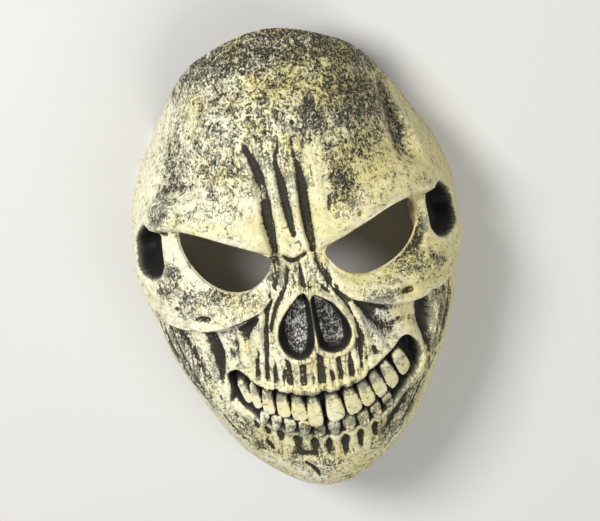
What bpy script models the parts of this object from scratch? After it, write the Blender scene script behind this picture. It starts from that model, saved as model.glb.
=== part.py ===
"""Skull mask of moulded latex with its elastic, lying face up on its rim.

Metres, +Z up. +X runs across the face, +Y runs up the face to the forehead and +Z comes forward out
of the face. The shell rests on the side edges of its rim at Z = 0.

The shell is worked out on a flat map of the face. A place on the map is (across, up) in millimetres from
the bridge of the nose. Its distance from the bridge gives the angle away from the forward axis, so the map
wraps round the face as far as the rim. A smooth form gives the reach in each direction, and every
cast feature is a height in millimetres above or below that form.
"""
import math
from collections import namedtuple

import bpy
import numpy as np
from mathutils import Vector
from mathutils.geometry import delaunay_2d_cdt

MM = 0.001

# Sizes of the shell, in millimetres. The origin is the middle of the floor under the mask, and the bridge of
# the nose is BRIDGE_ALONG up the face from it.
MAP_RADIUS = 80.0
FACE_DEPTH = 80.0
BRIDGE_ALONG = 13.5
WALL = 1.9
WALL_SMOOTHING = 3
OUTER_SPACING = 1.35
INNER_SPACING = 3.2
RIM_SPACING = 2.6
EYE_SPACING = 1.5
SHELL_DETAIL = 0.125

# Sizes of the elastic, in millimetres.
BAND_WIDTH = 10.0
BAND_THICKNESS = 1.2
BAND_STEPS = 5

# Smooth form by clock direction: 90 is the top of the forehead, 0 the temple and -90 the chin. reach is from
# the bridge of the nose, fullness squares the curve from front to rim, rim_height is above the floor.
Section = namedtuple("Section", "clock reach fullness rim_height")
FORM = [
    Section(-90.0, 126.0, 3.2, 10.0),
    Section(-72.0, 114.5, 2.9, 4.0),
    Section(-55.0, 97.0, 2.6, 0.0),
    Section(-38.0, 85.5, 2.5, 0.0),
    Section(-18.0, 77.5, 2.5, 0.0),
    Section(0.0, 76.0, 2.5, 0.0),
    Section(18.0, 74.5, 2.5, 0.0),
    Section(38.0, 74.5, 2.5, 0.0),
    Section(55.0, 83.5, 2.5, 16.0),
    Section(72.0, 99.5, 2.5, 36.0),
    Section(90.0, 107.0, 2.6, 42.0),
]

# Broad soft swellings: centre, spread across and up the map, and height.
Swell = namedtuple("Swell", "across up spread_across spread_up height")
SWELLS = [
    Swell(0.0, 52.0, 46.0, 26.0, 2.0),
    Swell(1.0, -22.0, 15.0, 19.0, 5.5),
    Swell(2.0, -56.0, 33.0, 16.0, 6.5),
    Swell(0.0, -86.0, 24.0, 11.0, 4.0),
    Swell(-2.0, 6.0, 7.0, 5.0, 2.4),
    Swell(-24.0, 27.0, 11.0, 9.0, 2.0),
    Swell(20.0, 27.0, 10.0, 9.0, 2.0),
]

# Bands that follow a path on the map. Each row of a path is (across, up, half width, height).
# left_edge and right_edge say how soft the band ends on the left and right of the direction of travel:
# 1 falls off from the middle and 0.1 is a crisp step. mirrored bands are on both sides of the face.
Band = namedtuple("Band", "name mirrored left_edge right_edge path")
BANDS = [
    Band("brow", True, 0.85, 0.16, [
        (9.0, 8.5, 4.5, 1.0),
        (17.0, 13.0, 6.0, 4.2),
        (28.0, 18.5, 7.0, 6.0),
        (42.0, 23.5, 7.5, 6.5),
        (56.0, 25.5, 7.5, 6.5),
        (68.0, 24.0, 7.0, 5.5),
        (78.0, 21.0, 5.5, 2.5),
    ]),
    Band("cheekbone", True, 0.8, 0.14, [
        (16.0, -12.0, 3.5, 1.0),
        (24.0, -17.0, 4.5, 3.2),
        (36.0, -20.0, 6.0, 4.8),
        (49.0, -21.0, 8.0, 5.2),
        (61.0, -19.0, 10.5, 5.2),
        (73.0, -17.0, 11.5, 4.6),
        (86.0, -13.0, 10.0, 3.0),
    ]),
    Band("orbit_bar", True, 0.8, 0.6, [
        (64.5, 18.0, 2.6, 0.5),
        (62.8, 10.0, 2.4, 1.8),
        (62.0, 2.0, 2.8, 1.8),
        (62.0, -6.0, 4.0, 0.5),
    ]),
    Band("temple_ridge", False, 0.7, 0.9, [
        (68.0, 68.0, 3.0, 0.5),
        (72.0, 55.0, 4.0, 2.8),
        (74.0, 40.0, 4.5, 3.2),
        (77.0, 27.0, 4.5, 1.5),
    ]),
    Band("temple_groove", False, 0.9, 0.8, [
        (57.0, 78.0, 3.0, -0.6),
        (60.0, 67.0, 4.5, -2.4),
        (61.0, 56.0, 5.0, -2.8),
        (61.0, 46.0, 4.5, -2.0),
        (61.5, 37.0, 3.5, -0.5),
    ]),
    Band("jaw_branch", True, 0.6, 0.5, [
        (76.0, -34.0, 6.0, 1.5),
        (66.0, -44.0, 7.0, 3.2),
        (55.0, -57.0, 7.0, 3.0),
        (44.0, -69.0, 6.0, 1.8),
        (32.0, -79.0, 5.0, 0.8),
    ]),
    Band("cheek_trough_right", False, 0.5, 0.4, [
        (-50.0, -30.0, 2.4, -1.6),
        (-46.5, -38.0, 3.0, -3.6),
        (-42.5, -48.0, 3.0, -3.8),
        (-38.5, -57.0, 2.4, -2.8),
        (-33.0, -63.5, 1.6, -1.0),
    ]),
    Band("cheek_trough_left", False, 0.4, 0.5, [
        (57.0, -30.0, 2.4, -1.6),
        (55.5, -38.0, 2.8, -3.6),
        (53.5, -47.0, 2.6, -3.2),
        (49.5, -56.0, 2.0, -1.2),
    ]),
    Band("nose_side_ridge", True, 0.7, 0.5, [
        (17.0, -15.0, 1.8, 0.4),
        (21.0, -25.0, 2.4, 1.6),
        (24.0, -35.0, 2.6, 1.8),
        (28.0, -42.0, 2.6, 1.0),
    ]),
    Band("furrow_right", False, 0.55, 0.55, [
        (-16.0, 52.0, 1.2, -0.6),
        (-12.5, 43.0, 2.1, -2.6),
        (-11.0, 32.0, 2.5, -3.6),
        (-11.0, 20.0, 2.4, -3.6),
        (-10.0, 7.0, 1.8, -2.6),
    ]),
    Band("furrow_middle", False, 0.55, 0.55, [
        (-3.6, 43.0, 1.0, -0.6),
        (-2.6, 34.0, 1.8, -2.4),
        (-1.8, 23.0, 1.8, -2.4),
        (-0.6, 13.0, 1.2, -0.8),
    ]),
    Band("furrow_left", False, 0.55, 0.55, [
        (5.5, 42.0, 1.2, -0.8),
        (6.0, 32.0, 2.1, -3.0),
        (6.0, 20.0, 2.3, -3.4),
        (7.0, 6.0, 1.8, -2.6),
    ]),
    Band("glabella_fold", False, 0.5, 0.5, [
        (-8.0, 5.0, 0.9, -1.0),
        (-3.0, 1.6, 1.1, -1.7),
        (3.5, 4.0, 0.9, -1.0),
    ]),
    Band("bridge_seam", False, 0.5, 0.5, [
        (0.0, 1.0, 0.6, -0.6),
        (0.0, -7.0, 0.8, -1.2),
        (0.8, -15.0, 0.8, -0.8),
    ]),
    Band("thin_cheek_ridge", False, 0.7, 0.7, [
        (-33.0, -29.0, 1.2, 0.6),
        (-31.0, -36.0, 1.6, 2.0),
        (-29.0, -42.0, 1.2, 0.6),
    ]),
    Band("mouth_end_right", False, 0.5, 0.5, [
        (-28.5, -48.0, 1.0, -0.6),
        (-33.5, -47.6, 1.5, -2.0),
        (-37.2, -52.6, 1.8, -2.8),
        (-36.5, -59.2, 1.7, -2.6),
        (-31.5, -62.2, 1.4, -1.6),
        (-26.5, -62.6, 1.0, -0.6),
    ]),
    Band("mouth_end_left", False, 0.5, 0.5, [
        (34.5, -47.6, 1.0, -0.8),
        (39.8, -46.0, 1.8, -2.6),
        (43.8, -52.4, 2.2, -3.4),
        (42.2, -59.8, 2.0, -3.0),
        (37.6, -62.6, 1.4, -1.6),
        (33.0, -62.8, 1.0, -0.6),
    ]),
]

# Closed hollows: depth, the width of the step at their edge, the height of the raised rim round it and their
# outline on the map.
Hollow = namedtuple("Hollow", "name mirrored depth edge rim outline")
HOLLOWS = [
    Hollow("temple_hollow", True, 10.0, 2.6, 0.0, [
        (66.5, 14.5), (72.5, 18.0), (84.0, 18.0), (95.0, 10.0), (97.5, 1.0), (91.0, -5.5), (80.0, -8.5),
        (69.5, -6.5), (65.6, 0.0), (65.4, 8.0),
    ]),
    Hollow("cheek_hollow_right", False, 4.2, 4.0, 0.0, [
        (-21.0, -23.0), (-32.0, -27.5), (-44.0, -30.5), (-51.0, -31.0), (-48.0, -40.0), (-44.0, -50.0),
        (-40.0, -55.5), (-38.5, -47.0), (-33.0, -43.0), (-28.0, -36.0), (-23.5, -30.0),
    ]),
    Hollow("cheek_hollow_left", False, 4.2, 4.0, 0.0, [
        (21.0, -21.0), (32.0, -26.5), (45.0, -30.5), (58.0, -31.0), (59.0, -40.0), (56.0, -48.0),
        (50.5, -50.0), (46.0, -43.5), (40.0, -42.5), (34.0, -43.0), (27.0, -37.0), (23.0, -29.0),
    ]),
    Hollow("nose_lobe_right", False, 8.0, 1.6, 1.8, [
        (-1.0, -13.2), (-4.0, -15.5), (-8.1, -20.1), (-11.6, -25.8), (-12.7, -31.3), (-11.3, -35.8),
        (-8.3, -38.2), (-5.0, -38.9), (-1.5, -37.3), (0.4, -33.0), (1.0, -26.7), (1.1, -19.7), (0.8, -15.2),
    ]),
    Hollow("nose_lobe_left", False, 8.0, 1.6, 1.8, [
        (3.0, -14.5), (6.4, -15.9), (10.6, -19.4), (13.8, -24.7), (16.1, -30.3), (16.0, -34.8),
        (13.3, -37.6), (9.2, -38.3), (5.6, -37.1), (3.5, -34.7), (2.9, -29.5), (2.7, -23.9), (2.6, -18.5),
    ]),
    Hollow("mouth", False, 4.6, 1.3, 0.9, [
        (-38.6, -52.2), (-35.1, -47.9), (-29.9, -47.9), (-24.3, -50.0), (-19.0, -50.8), (-13.8, -51.4),
        (-7.5, -52.0), (-0.6, -52.0), (5.8, -52.0), (12.5, -52.0), (17.3, -51.4), (21.1, -49.8),
        (26.8, -48.3), (32.9, -46.8), (37.1, -45.4), (42.1, -45.9), (46.2, -51.9), (45.7, -57.5),
        (42.0, -62.0), (37.0, -63.6), (32.1, -64.6), (28.3, -66.4), (23.6, -67.8), (19.3, -68.2),
        (13.8, -68.4), (8.6, -68.3), (3.1, -67.9), (-2.2, -67.4), (-7.5, -66.4), (-12.9, -66.0),
        (-18.4, -65.2), (-23.4, -64.2), (-27.9, -62.6), (-33.0, -62.4), (-36.7, -59.1),
    ]),
]
RIM_WIDTH = 1.4

# Both eye holes, cut through: their outlines on the map, from the inner corner over the upper edge.
EYE_HOLES = {
    "right": [
        (-13.5, 3.6), (-23.0, 8.2), (-34.0, 12.6), (-46.0, 16.0), (-56.5, 17.8), (-57.5, 13.0),
        (-54.5, 5.0), (-48.5, -3.5), (-41.0, -9.8), (-32.5, -12.6), (-24.0, -11.5), (-17.0, -6.5),
        (-13.2, -0.5),
    ],
    "left": [
        (12.5, 3.4), (22.0, 8.8), (31.0, 13.0), (41.0, 16.6), (50.0, 18.0), (58.5, 16.6),
        (61.0, 11.5), (59.0, 3.0), (53.5, -4.0), (45.5, -9.0), (36.0, -11.8), (28.0, -12.2),
        (20.0, -8.8), (14.5, -3.0),
    ],
}
LID_WIDTH = 5.0
LID_DROP = 1.6

# Teeth: centre, half width, half length, lean in degrees, taper towards the gum and height above the floor of
# the mouth.
Tooth = namedtuple("Tooth", "across up half_width half_length lean taper height")
TEETH = [
    Tooth(-30.3, -54.8, 2.1, 4.8, -33.0, 0.1, 4.0),
    Tooth(-25.6, -55.0, 2.1, 5.0, -14.0, 0.15, 4.4),
    Tooth(-20.3, -55.8, 2.5, 5.0, -6.0, 0.18, 4.8),
    Tooth(-14.5, -56.3, 2.6, 4.5, -8.0, 0.2, 5.0),
    Tooth(-8.6, -57.0, 2.8, 4.5, -3.0, 0.22, 5.1),
    Tooth(-2.8, -58.2, 2.8, 5.8, 0.0, 0.2, 5.3),
    Tooth(4.7, -57.6, 3.3, 5.1, -5.0, 0.22, 5.3),
    Tooth(11.6, -57.5, 3, 4.9, -12.0, 0.2, 5.2),
    Tooth(17.5, -56.9, 2.7, 4.9, -16.0, 0.18, 5.1),
    Tooth(23.1, -56.0, 2.6, 5.3, -18.0, 0.16, 5.0),
    Tooth(29.0, -55.6, 2.8, 6.0, -18.0, 0.12, 4.7),
    Tooth(36.0, -54.6, 3.3, 6.2, -18.0, 0.05, 4.3),
    Tooth(-22.4, -62.6, 2.2, 1.7, -10.0, 0, 3.6),
    Tooth(-17.7, -63.2, 2.3, 2.0, -4.0, 0, 3.9),
    Tooth(-12.6, -63.7, 2.5, 2.1, -2.0, 0, 4.1),
    Tooth(-7.2, -64.0, 2.6, 2.2, 0.0, 0, 4.2),
    Tooth(-1.9, -65.7, 2.4, 1.6, 2.0, 0, 4.0),
    Tooth(3.5, -65.4, 2.6, 2.2, 1.0, 0, 4.2),
    Tooth(9.2, -65.7, 2.7, 2.4, -1.0, 0, 4.2),
    Tooth(14.8, -65.9, 2.6, 2.4, -3.0, 0, 4.1),
    Tooth(20.3, -65.6, 2.5, 2.4, -6.0, 0, 3.9),
    Tooth(25.8, -64.6, 2.4, 2.3, -8.0, 0, 3.6),
]
TOOTH_SQUARENESS = 3.2
TOOTH_EDGE = 0.26

# Small pits: centre, half width, half length, lean in degrees and depth.
Pit = namedtuple("Pit", "across up half_width half_length lean depth")
PITS = [
    Pit(-45.0, -22.0, 4.0, 1.9, -8.0, 2.8),
    Pit(44.5, -22.5, 3.6, 2.1, 8.0, 2.6),
    Pit(-26.1, -67.0, 1.2, 2.4, -6.0, 1.8),
    Pit(-21.8, -68.4, 1.3, 2.6, -6.0, 2.0),
    Pit(-16.8, -69.2, 1.9, 2.9, 0.0, 2.3),
    Pit(-10.6, -70.9, 2.1, 3.9, 2.0, 2.4),
    Pit(-4.4, -71.0, 1.7, 4.1, 6.0, 2.3),
    Pit(0.8, -71.2, 1.3, 4.0, 8.0, 2.2),
    Pit(6.8, -72.2, 1.9, 4.9, 4.0, 2.4),
    Pit(12.6, -73.0, 1.7, 4.7, 4.0, 2.3),
    Pit(18.6, -72.6, 1.4, 3.9, 3.0, 2.0),
    Pit(-7.6, -75.6, 4.4, 1.5, 0.0, 1.4),
    Pit(26.5, -73.4, 1.6, 5.6, 48.0, 1.5),
    Pit(-21.4, -75.6, 1.2, 2.4, -32.0, 1.2),
]

# Middle line of the elastic: clock direction, distance off the inside of the shell, height of the lower edge.
Lay = namedtuple("Lay", "clock off_wall lower_edge")
ELASTIC_PATH = [
    Lay(14.0, 0.9, 6.0),
    Lay(6.0, 0.9, 5.6),
    Lay(-4.0, 1.6, 4.4),
    Lay(-18.0, 5.0, 1.6),
    Lay(-34.0, 9.0, 0.4),
    Lay(-52.0, 14.0, 0.4),
    Lay(-70.0, 24.0, 0.4),
    Lay(-90.0, 32.0, 0.4),
    Lay(-110.0, 25.0, 0.4),
    Lay(-128.0, 15.0, 0.4),
    Lay(-146.0, 9.0, 0.4),
    Lay(-162.0, 5.0, 1.6),
    Lay(-176.0, 1.6, 4.4),
    Lay(-186.0, 0.9, 5.6),
    Lay(-194.0, 0.9, 6.0),
]


def form_value(clock, name):
    """Smooth value of one column of the form at clock angles in degrees, the same on both sides."""
    knots = np.array([row.clock + 90.0 for row in FORM])
    values = np.array([getattr(row, name) for row in FORM])
    slopes = np.gradient(values, knots)
    slopes[0] = 0.0
    slopes[-1] = 0.0
    x = np.abs((clock + 270.0) % 360.0 - 180.0)
    i = np.clip(np.searchsorted(knots, x) - 1, 0, len(knots) - 2)
    step = knots[i + 1] - knots[i]
    t = (x - knots[i]) / step
    start = (2 * t ** 3 - 3 * t ** 2 + 1) * values[i] + (t ** 3 - 2 * t ** 2 + t) * step * slopes[i]
    return start + (3 * t ** 2 - 2 * t ** 3) * values[i + 1] + (t ** 3 - t ** 2) * step * slopes[i + 1]


def smooth_step(t):
    """0 below zero, 1 above one and a smooth rise between them."""
    t = np.clip(t, 0.0, 1.0)
    return t * t * (3.0 - 2.0 * t)


def smooth_rows(rows, closed, steps):
    """Rows of a path with curved rows between them."""
    rows = np.array(rows, float)
    if closed:
        rows = np.vstack([rows[-1:], rows, rows[:2]])
    else:
        rows = np.vstack([2 * rows[:1] - rows[1:2], rows, 2 * rows[-1:] - rows[-2:-1]])
    curve = []
    for k in range(1, len(rows) - 2):
        before, start, end, after = rows[k - 1:k + 3]
        for t in np.arange(steps) / steps:
            square = 2 * before - 5 * start + 4 * end - after
            cube = 3 * start - before - 3 * end + after
            curve.append(0.5 * (2 * start + (end - before) * t + square * t ** 2 + cube * t ** 3))
    if not closed:
        curve.append(rows[-2])
    return np.array(curve)


def near(across, up, path, reach):
    """True for the places that could lie within reach of a path."""
    low = path[:, :2].min(axis=0) - reach
    high = path[:, :2].max(axis=0) + reach
    return (across > low[0]) & (across < high[0]) & (up > low[1]) & (up < high[1])


def band_height(across, up, band):
    """Height of one band at places on the map."""
    path = smooth_rows(band.path, False, 6)
    height = np.zeros(across.shape)
    close = near(across, up, path, 2.2 * path[:, 2].max())
    a = across[close]
    b = up[close]
    best = np.full(a.shape, 1e9)
    offset = np.zeros(a.shape)
    width = np.ones(a.shape)
    crest = np.zeros(a.shape)
    for start, end in zip(path[:-1], path[1:]):
        run = end[:2] - start[:2]
        t = np.clip(((a - start[0]) * run[0] + (b - start[1]) * run[1]) / (run @ run), 0.0, 1.0)
        da = a - start[0] - t * run[0]
        db = b - start[1] - t * run[1]
        away = np.hypot(da, db)
        nearer = away < best
        side = np.sign(run[0] * db - run[1] * da)
        best = np.where(nearer, away, best)
        offset = np.where(nearer, away * side, offset)
        width = np.where(nearer, start[2] + t * (end[2] - start[2]), width)
        crest = np.where(nearer, start[3] + t * (end[3] - start[3]), crest)
    edge = np.where(offset > 0.0, band.left_edge, band.right_edge)
    height[close] = crest * smooth_step((width * (1.0 + edge) - best) / (2.0 * edge * width))
    return height


def depth_inside(across, up, outline, reach):
    """Distance inside a closed outline, negative outside it and no lower than minus the reach."""
    path = smooth_rows(outline, True, 5)
    depth = np.full(across.shape, -float(reach))
    close = near(across, up, path, reach)
    a = across[close]
    b = up[close]
    best = np.full(a.shape, 1e9)
    inside = np.zeros(a.shape, bool)
    for start, end in zip(path, np.roll(path, -1, axis=0)):
        run = end - start
        t = np.clip(((a - start[0]) * run[0] + (b - start[1]) * run[1]) / (run @ run), 0.0, 1.0)
        best = np.minimum(best, np.hypot(a - start[0] - t * run[0], b - start[1] - t * run[1]))
        spans = (start[1] > b) != (end[1] > b)
        rise = run[1] if abs(run[1]) > 1e-9 else 1e-9
        inside ^= spans & (a < start[0] + (b - start[1]) / rise * run[0])
    depth[close] = np.maximum(np.where(inside, best, -best), -reach)
    return depth


def oval(across, up, spot, squareness):
    """0 at the centre of a leaning oval spot and 1 at its edge."""
    lean = math.radians(spot.lean)
    u = (across - spot.across) * math.cos(lean) - (up - spot.up) * math.sin(lean)
    v = (across - spot.across) * math.sin(lean) + (up - spot.up) * math.cos(lean)
    half_width = spot.half_width * (1.0 - getattr(spot, "taper", 0.0) * np.clip(v / spot.half_length, -1.2, 1.2))
    powers = np.abs(u / half_width) ** squareness + np.abs(v / spot.half_length) ** squareness
    return powers ** (1 / squareness)


def relief(across, up):
    """Height of the cast features above the smooth form, in millimetres."""
    height = np.zeros(across.shape)
    for swell in SWELLS:
        sideways = (across - swell.across) / swell.spread_across
        upwards = (up - swell.up) / swell.spread_up
        height += swell.height * np.exp(-sideways ** 2 - upwards ** 2)
    for band in BANDS:
        height += band_height(np.abs(across) if band.mirrored else across, up, band)
    for hollow in HOLLOWS:
        side = np.abs(across) if hollow.mirrored else across
        inside = depth_inside(side, up, hollow.outline, 4.0 * RIM_WIDTH)
        height -= hollow.depth * smooth_step((inside + 0.3 * hollow.edge) / (1.3 * hollow.edge))
        height += hollow.rim * np.exp(-((inside + 1.2 * RIM_WIDTH) / RIM_WIDTH) ** 2)
    for outline in EYE_HOLES.values():
        inside = depth_inside(across, up, outline, 2.0 * LID_WIDTH)
        height -= LID_DROP * smooth_step((inside + LID_WIDTH) / LID_WIDTH)
    teeth = np.zeros(across.shape)
    for tooth in TEETH:
        rise = smooth_step((1.0 + TOOTH_EDGE / 2 - oval(across, up, tooth, TOOTH_SQUARENESS)) / TOOTH_EDGE)
        teeth = np.maximum(teeth, tooth.height * rise)
    height += teeth
    for pit in PITS:
        height -= pit.depth * np.exp(-oval(across, up, pit, 2.0) ** 2 * 1.2)
    return height


def smooth_radius(across, up):
    """Distance from the centre behind the bridge of the nose to the smooth form."""
    turn = np.hypot(across, up) / MAP_RADIUS
    clock = np.degrees(np.arctan2(up, across))
    fullness = form_value(clock, "fullness")
    side = np.abs(np.sin(turn)) / form_value(clock, "reach")
    front = np.abs(np.cos(turn)) / FACE_DEPTH
    return (side ** fullness + front ** fullness) ** (-1.0 / fullness)


def place(across, up, height):
    """World places, in metres, of map places lifted off the smooth form by a height."""
    turn = np.hypot(across, up) / MAP_RADIUS
    clock = np.arctan2(up, across)
    radius = (smooth_radius(across, up) + height) * MM
    out = radius * np.sin(turn)
    along = out * np.sin(clock) + BRIDGE_ALONG * MM
    return np.stack([out * np.cos(clock), along, radius * np.cos(turn)], axis=-1)


def lining_grid():
    """Height of the inside of the shell on a grid of the map: the lower reach of the relief, smoothed."""
    half = math.ceil(MAP_RADIUS * math.pi / 2) + 6
    ticks = np.arange(-half, half + 1, dtype=float)
    across, up = np.meshgrid(ticks, ticks, indexing="ij")
    height = relief(across, up)
    low = height.copy()
    for i in range(-WALL_SMOOTHING, WALL_SMOOTHING + 1):
        for j in range(-WALL_SMOOTHING, WALL_SMOOTHING + 1):
            if i * i + j * j <= WALL_SMOOTHING ** 2:
                low = np.minimum(low, np.roll(height, (i, j), axis=(0, 1)))
    for axis in (0, 1):
        for turn in range(3):
            low = (np.roll(low, 1, axis=axis) + low * 2 + np.roll(low, -1, axis=axis)) / 4
    return half, low - WALL


def lining(across, up, grid):
    """Height of the inside of the shell at places on the map."""
    half, heights = grid
    x = np.clip(across + half, 0, 2 * half - 1e-6)
    y = np.clip(up + half, 0, 2 * half - 1e-6)
    i = x.astype(int)
    j = y.astype(int)
    u = x - i
    v = y - j
    near_row = heights[i, j] * (1 - v) + heights[i, j + 1] * v
    far_row = heights[i + 1, j] * (1 - v) + heights[i + 1, j + 1] * v
    return near_row * (1 - u) + far_row * u


def rim_outline():
    """Rim of the shell on the map, where the smooth form is down to the height of the rim."""
    count = round(2 * math.pi * MAP_RADIUS * math.pi / 2 / RIM_SPACING)
    clock = np.arange(count) * 2 * math.pi / count
    rim_height = form_value(np.degrees(clock), "rim_height")
    low = np.full(count, 0.5)
    high = np.full(count, math.pi / 2)
    for halving in range(40):
        turn = (low + high) / 2
        across = MAP_RADIUS * turn * np.cos(clock)
        up = MAP_RADIUS * turn * np.sin(clock)
        above = smooth_radius(across, up) * np.cos(turn) > rim_height
        low = np.where(above, turn, low)
        high = np.where(above, high, turn)
    reach = MAP_RADIUS * high
    return np.stack([reach * np.cos(clock), reach * np.sin(clock)], axis=-1)


def spaced(outline, spacing):
    """Points of a closed outline at an even spacing."""
    path = smooth_rows(outline, True, 12)
    path = np.vstack([path, path[:1]])
    run = np.concatenate([[0.0], np.cumsum(np.hypot(*np.diff(path, axis=0).T))])
    count = round(run[-1] / spacing)
    marks = np.arange(count) * run[-1] / count
    return np.stack([np.interp(marks, run, path[:, 0]), np.interp(marks, run, path[:, 1])], axis=-1)


def mesh_map(loops, spacing):
    """Triangles between the rim and the eye holes, as map points and corner numbers.

    The points of the loops come first, in order.
    """
    rim = loops[0]
    reach = np.abs(rim).max() + spacing
    rows = []
    for k, row in enumerate(np.arange(-reach, reach, spacing * math.sqrt(0.75))):
        line = np.arange(-reach, reach, spacing) + (k % 2) * spacing / 2
        rows.append(np.stack([line, np.full(line.shape, row)], axis=-1))
    grid = np.vstack(rows)
    keep = depth_of(grid, rim) > 0.45 * spacing
    for loop in loops[1:]:
        keep &= depth_of(grid, loop) < -0.45 * spacing
    points = np.vstack(loops + [grid[keep]])
    edges = []
    first = 0
    for loop in loops:
        count = len(loop)
        edges += [(first + k, first + (k + 1) % count) for k in range(count)]
        first += count
    result = delaunay_2d_cdt([Vector(p) for p in points], edges, [], 0, 1e-6, False)
    corners = np.array([face for face in result[2] if len(face) == 3])
    middle = points[corners].mean(axis=1)
    inside = depth_of(middle, rim) > 0
    for loop in loops[1:]:
        inside &= depth_of(middle, loop) < 0
    corners = corners[inside]
    one, two, three = (points[corners[:, k]] for k in range(3))
    area = (two - one)[:, 0] * (three - one)[:, 1] - (two - one)[:, 1] * (three - one)[:, 0]
    corners[area < 0] = corners[area < 0][:, ::-1]
    return points, corners


def depth_of(points, loop):
    """Distance of points inside a closed loop, negative outside it."""
    best = np.full(len(points), 1e9)
    inside = np.zeros(len(points), bool)
    for start, end in zip(loop, np.roll(loop, -1, axis=0)):
        run = end - start
        t = np.clip(((points - start) @ run) / (run @ run), 0.0, 1.0)
        best = np.minimum(best, np.hypot(*(points - start - t[:, None] * run).T))
        spans = (start[1] > points[:, 1]) != (end[1] > points[:, 1])
        rise = run[1] if abs(run[1]) > 1e-9 else 1e-9
        inside ^= spans & (points[:, 0] < start[0] + (points[:, 1] - start[1]) / rise * run[0])
    return np.where(inside, best, -best)


def make_material(name, colour, roughness):
    """Plain material with one colour and no shine of metal."""
    material = bpy.data.materials.new(name)
    material.use_nodes = True
    shader = material.node_tree.nodes["Principled BSDF"]
    shader.inputs["Base Color"].default_value = (*colour, 1.0)
    shader.inputs["Roughness"].default_value = roughness
    shader.inputs["Metallic"].default_value = 0.0
    return material


def make_object(name, vertices, faces, material):
    """Object with one closed mesh, shaded smooth."""
    mesh = bpy.data.meshes.new(name)
    mesh.from_pydata(vertices, [], faces)
    mesh.update()
    mesh.shade_smooth()
    mesh.materials.append(material)
    part = bpy.data.objects.new(name, mesh)
    bpy.context.scene.collection.objects.link(part)
    return part


def make_shell(grid):
    """The moulded shell: outside, inside and the cut walls of the rim and both eye holes."""
    loops = [rim_outline()] + [spaced(outline, EYE_SPACING) for outline in EYE_HOLES.values()]
    outer, outer_faces = mesh_map(loops, OUTER_SPACING)
    inner, inner_faces = mesh_map(loops, INNER_SPACING)
    outside = place(outer[:, 0], outer[:, 1], relief(outer[:, 0], outer[:, 1]))
    inside = place(inner[:, 0], inner[:, 1], lining(inner[:, 0], inner[:, 1], grid))
    vertices = np.vstack([outside, inside])
    shift = len(outside)
    faces = outer_faces.tolist() + (inner_faces[:, ::-1] + shift).tolist()
    first = 0
    for number, loop in enumerate(loops):
        count = len(loop)
        ring = [(first + k, first + (k + 1) % count) for k in range(count)]
        x, y = loop.T
        turns_left = (x * np.roll(y, -1) - np.roll(x, -1) * y).sum() > 0
        for this, following in ring:
            wall = [following, this, this + shift, following + shift]
            if turns_left != (number == 0):
                wall = wall[::-1]
            faces.append(wall[:3])
            faces.append([wall[0], wall[2], wall[3]])
        first += count
    latex = make_material("painted_latex", (0.62, 0.56, 0.38), 0.5)
    shell = make_object("mask_shell", vertices.tolist(), faces, latex)
    rim = set(range(len(loops[0]))) | set(range(shift, shift + len(loops[0])))
    free = shell.vertex_groups.new(name="away_from_rim")
    free.add([k for k in range(len(vertices)) if k not in rim], 1.0, "REPLACE")
    thin = shell.modifiers.new("fewer_faces", "DECIMATE")
    thin.decimate_type = "COLLAPSE"
    thin.ratio = SHELL_DETAIL
    thin.vertex_group = free.name
    return shell


def make_elastic(grid):
    """The flat elastic, standing on edge round the inside of the rim, its ends flat against the temples."""
    clock, off_wall, lower_edge = smooth_rows([tuple(row) for row in ELASTIC_PATH], False, BAND_STEPS).T
    clock = np.radians(clock)
    turn = math.pi / 2 - (lower_edge + BAND_WIDTH) / smooth_radius(np.cos(clock), np.sin(clock))
    across = MAP_RADIUS * turn * np.cos(clock)
    up = MAP_RADIUS * turn * np.sin(clock)
    reach = (smooth_radius(across, up) + lining(across, up, grid)) * np.sin(turn) - off_wall
    path = np.stack([reach * np.cos(clock), reach * np.sin(clock) + BRIDGE_ALONG], axis=-1)
    run = np.gradient(path, axis=0)
    run /= np.hypot(run[:, 0], run[:, 1])[:, None]
    half = np.stack([-run[:, 1], run[:, 0]], axis=-1) * BAND_THICKNESS / 2
    vertices = []
    for left, right, bottom in zip(path + half, path - half, lower_edge):
        top = bottom + BAND_WIDTH
        vertices += [(*right, bottom), (*left, bottom), (*left, top), (*right, top)]
    faces = [(3, 2, 1, 0)]
    for ring in range(len(path) - 1):
        here = 4 * ring
        for side in range(4):
            turn = (side + 1) % 4
            faces.append((here + side, here + turn, here + 4 + turn, here + 4 + side))
    last = 4 * (len(path) - 1)
    faces.append((last, last + 1, last + 2, last + 3))
    woven = make_material("black_elastic", (0.02, 0.02, 0.02), 0.85)
    return make_object("head_elastic", (np.array(vertices) * MM).tolist(), faces, woven)


def main():
    for old in list(bpy.data.objects):
        bpy.data.objects.remove(old, do_unlink=True)
    grid = lining_grid()
    make_shell(grid)
    make_elastic(grid)


main()
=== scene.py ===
# %% [markdown]
# # A painted latex skull mask
#
# The mask lies face up on a pale floor and the camera looks at it from the front, a little from the
# forehead side. Everything is in metres, with +X across the face, +Y up the face and +Z out of the face.
# The frame that is loaded first holds the plain solids. The pieces made here take their place and carry the
# finish.

# %% Load the solids
import math
from collections import namedtuple

import bpy
import numpy as np
from mathutils import Matrix, Vector
from mathutils.geometry import delaunay_2d_cdt


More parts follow.
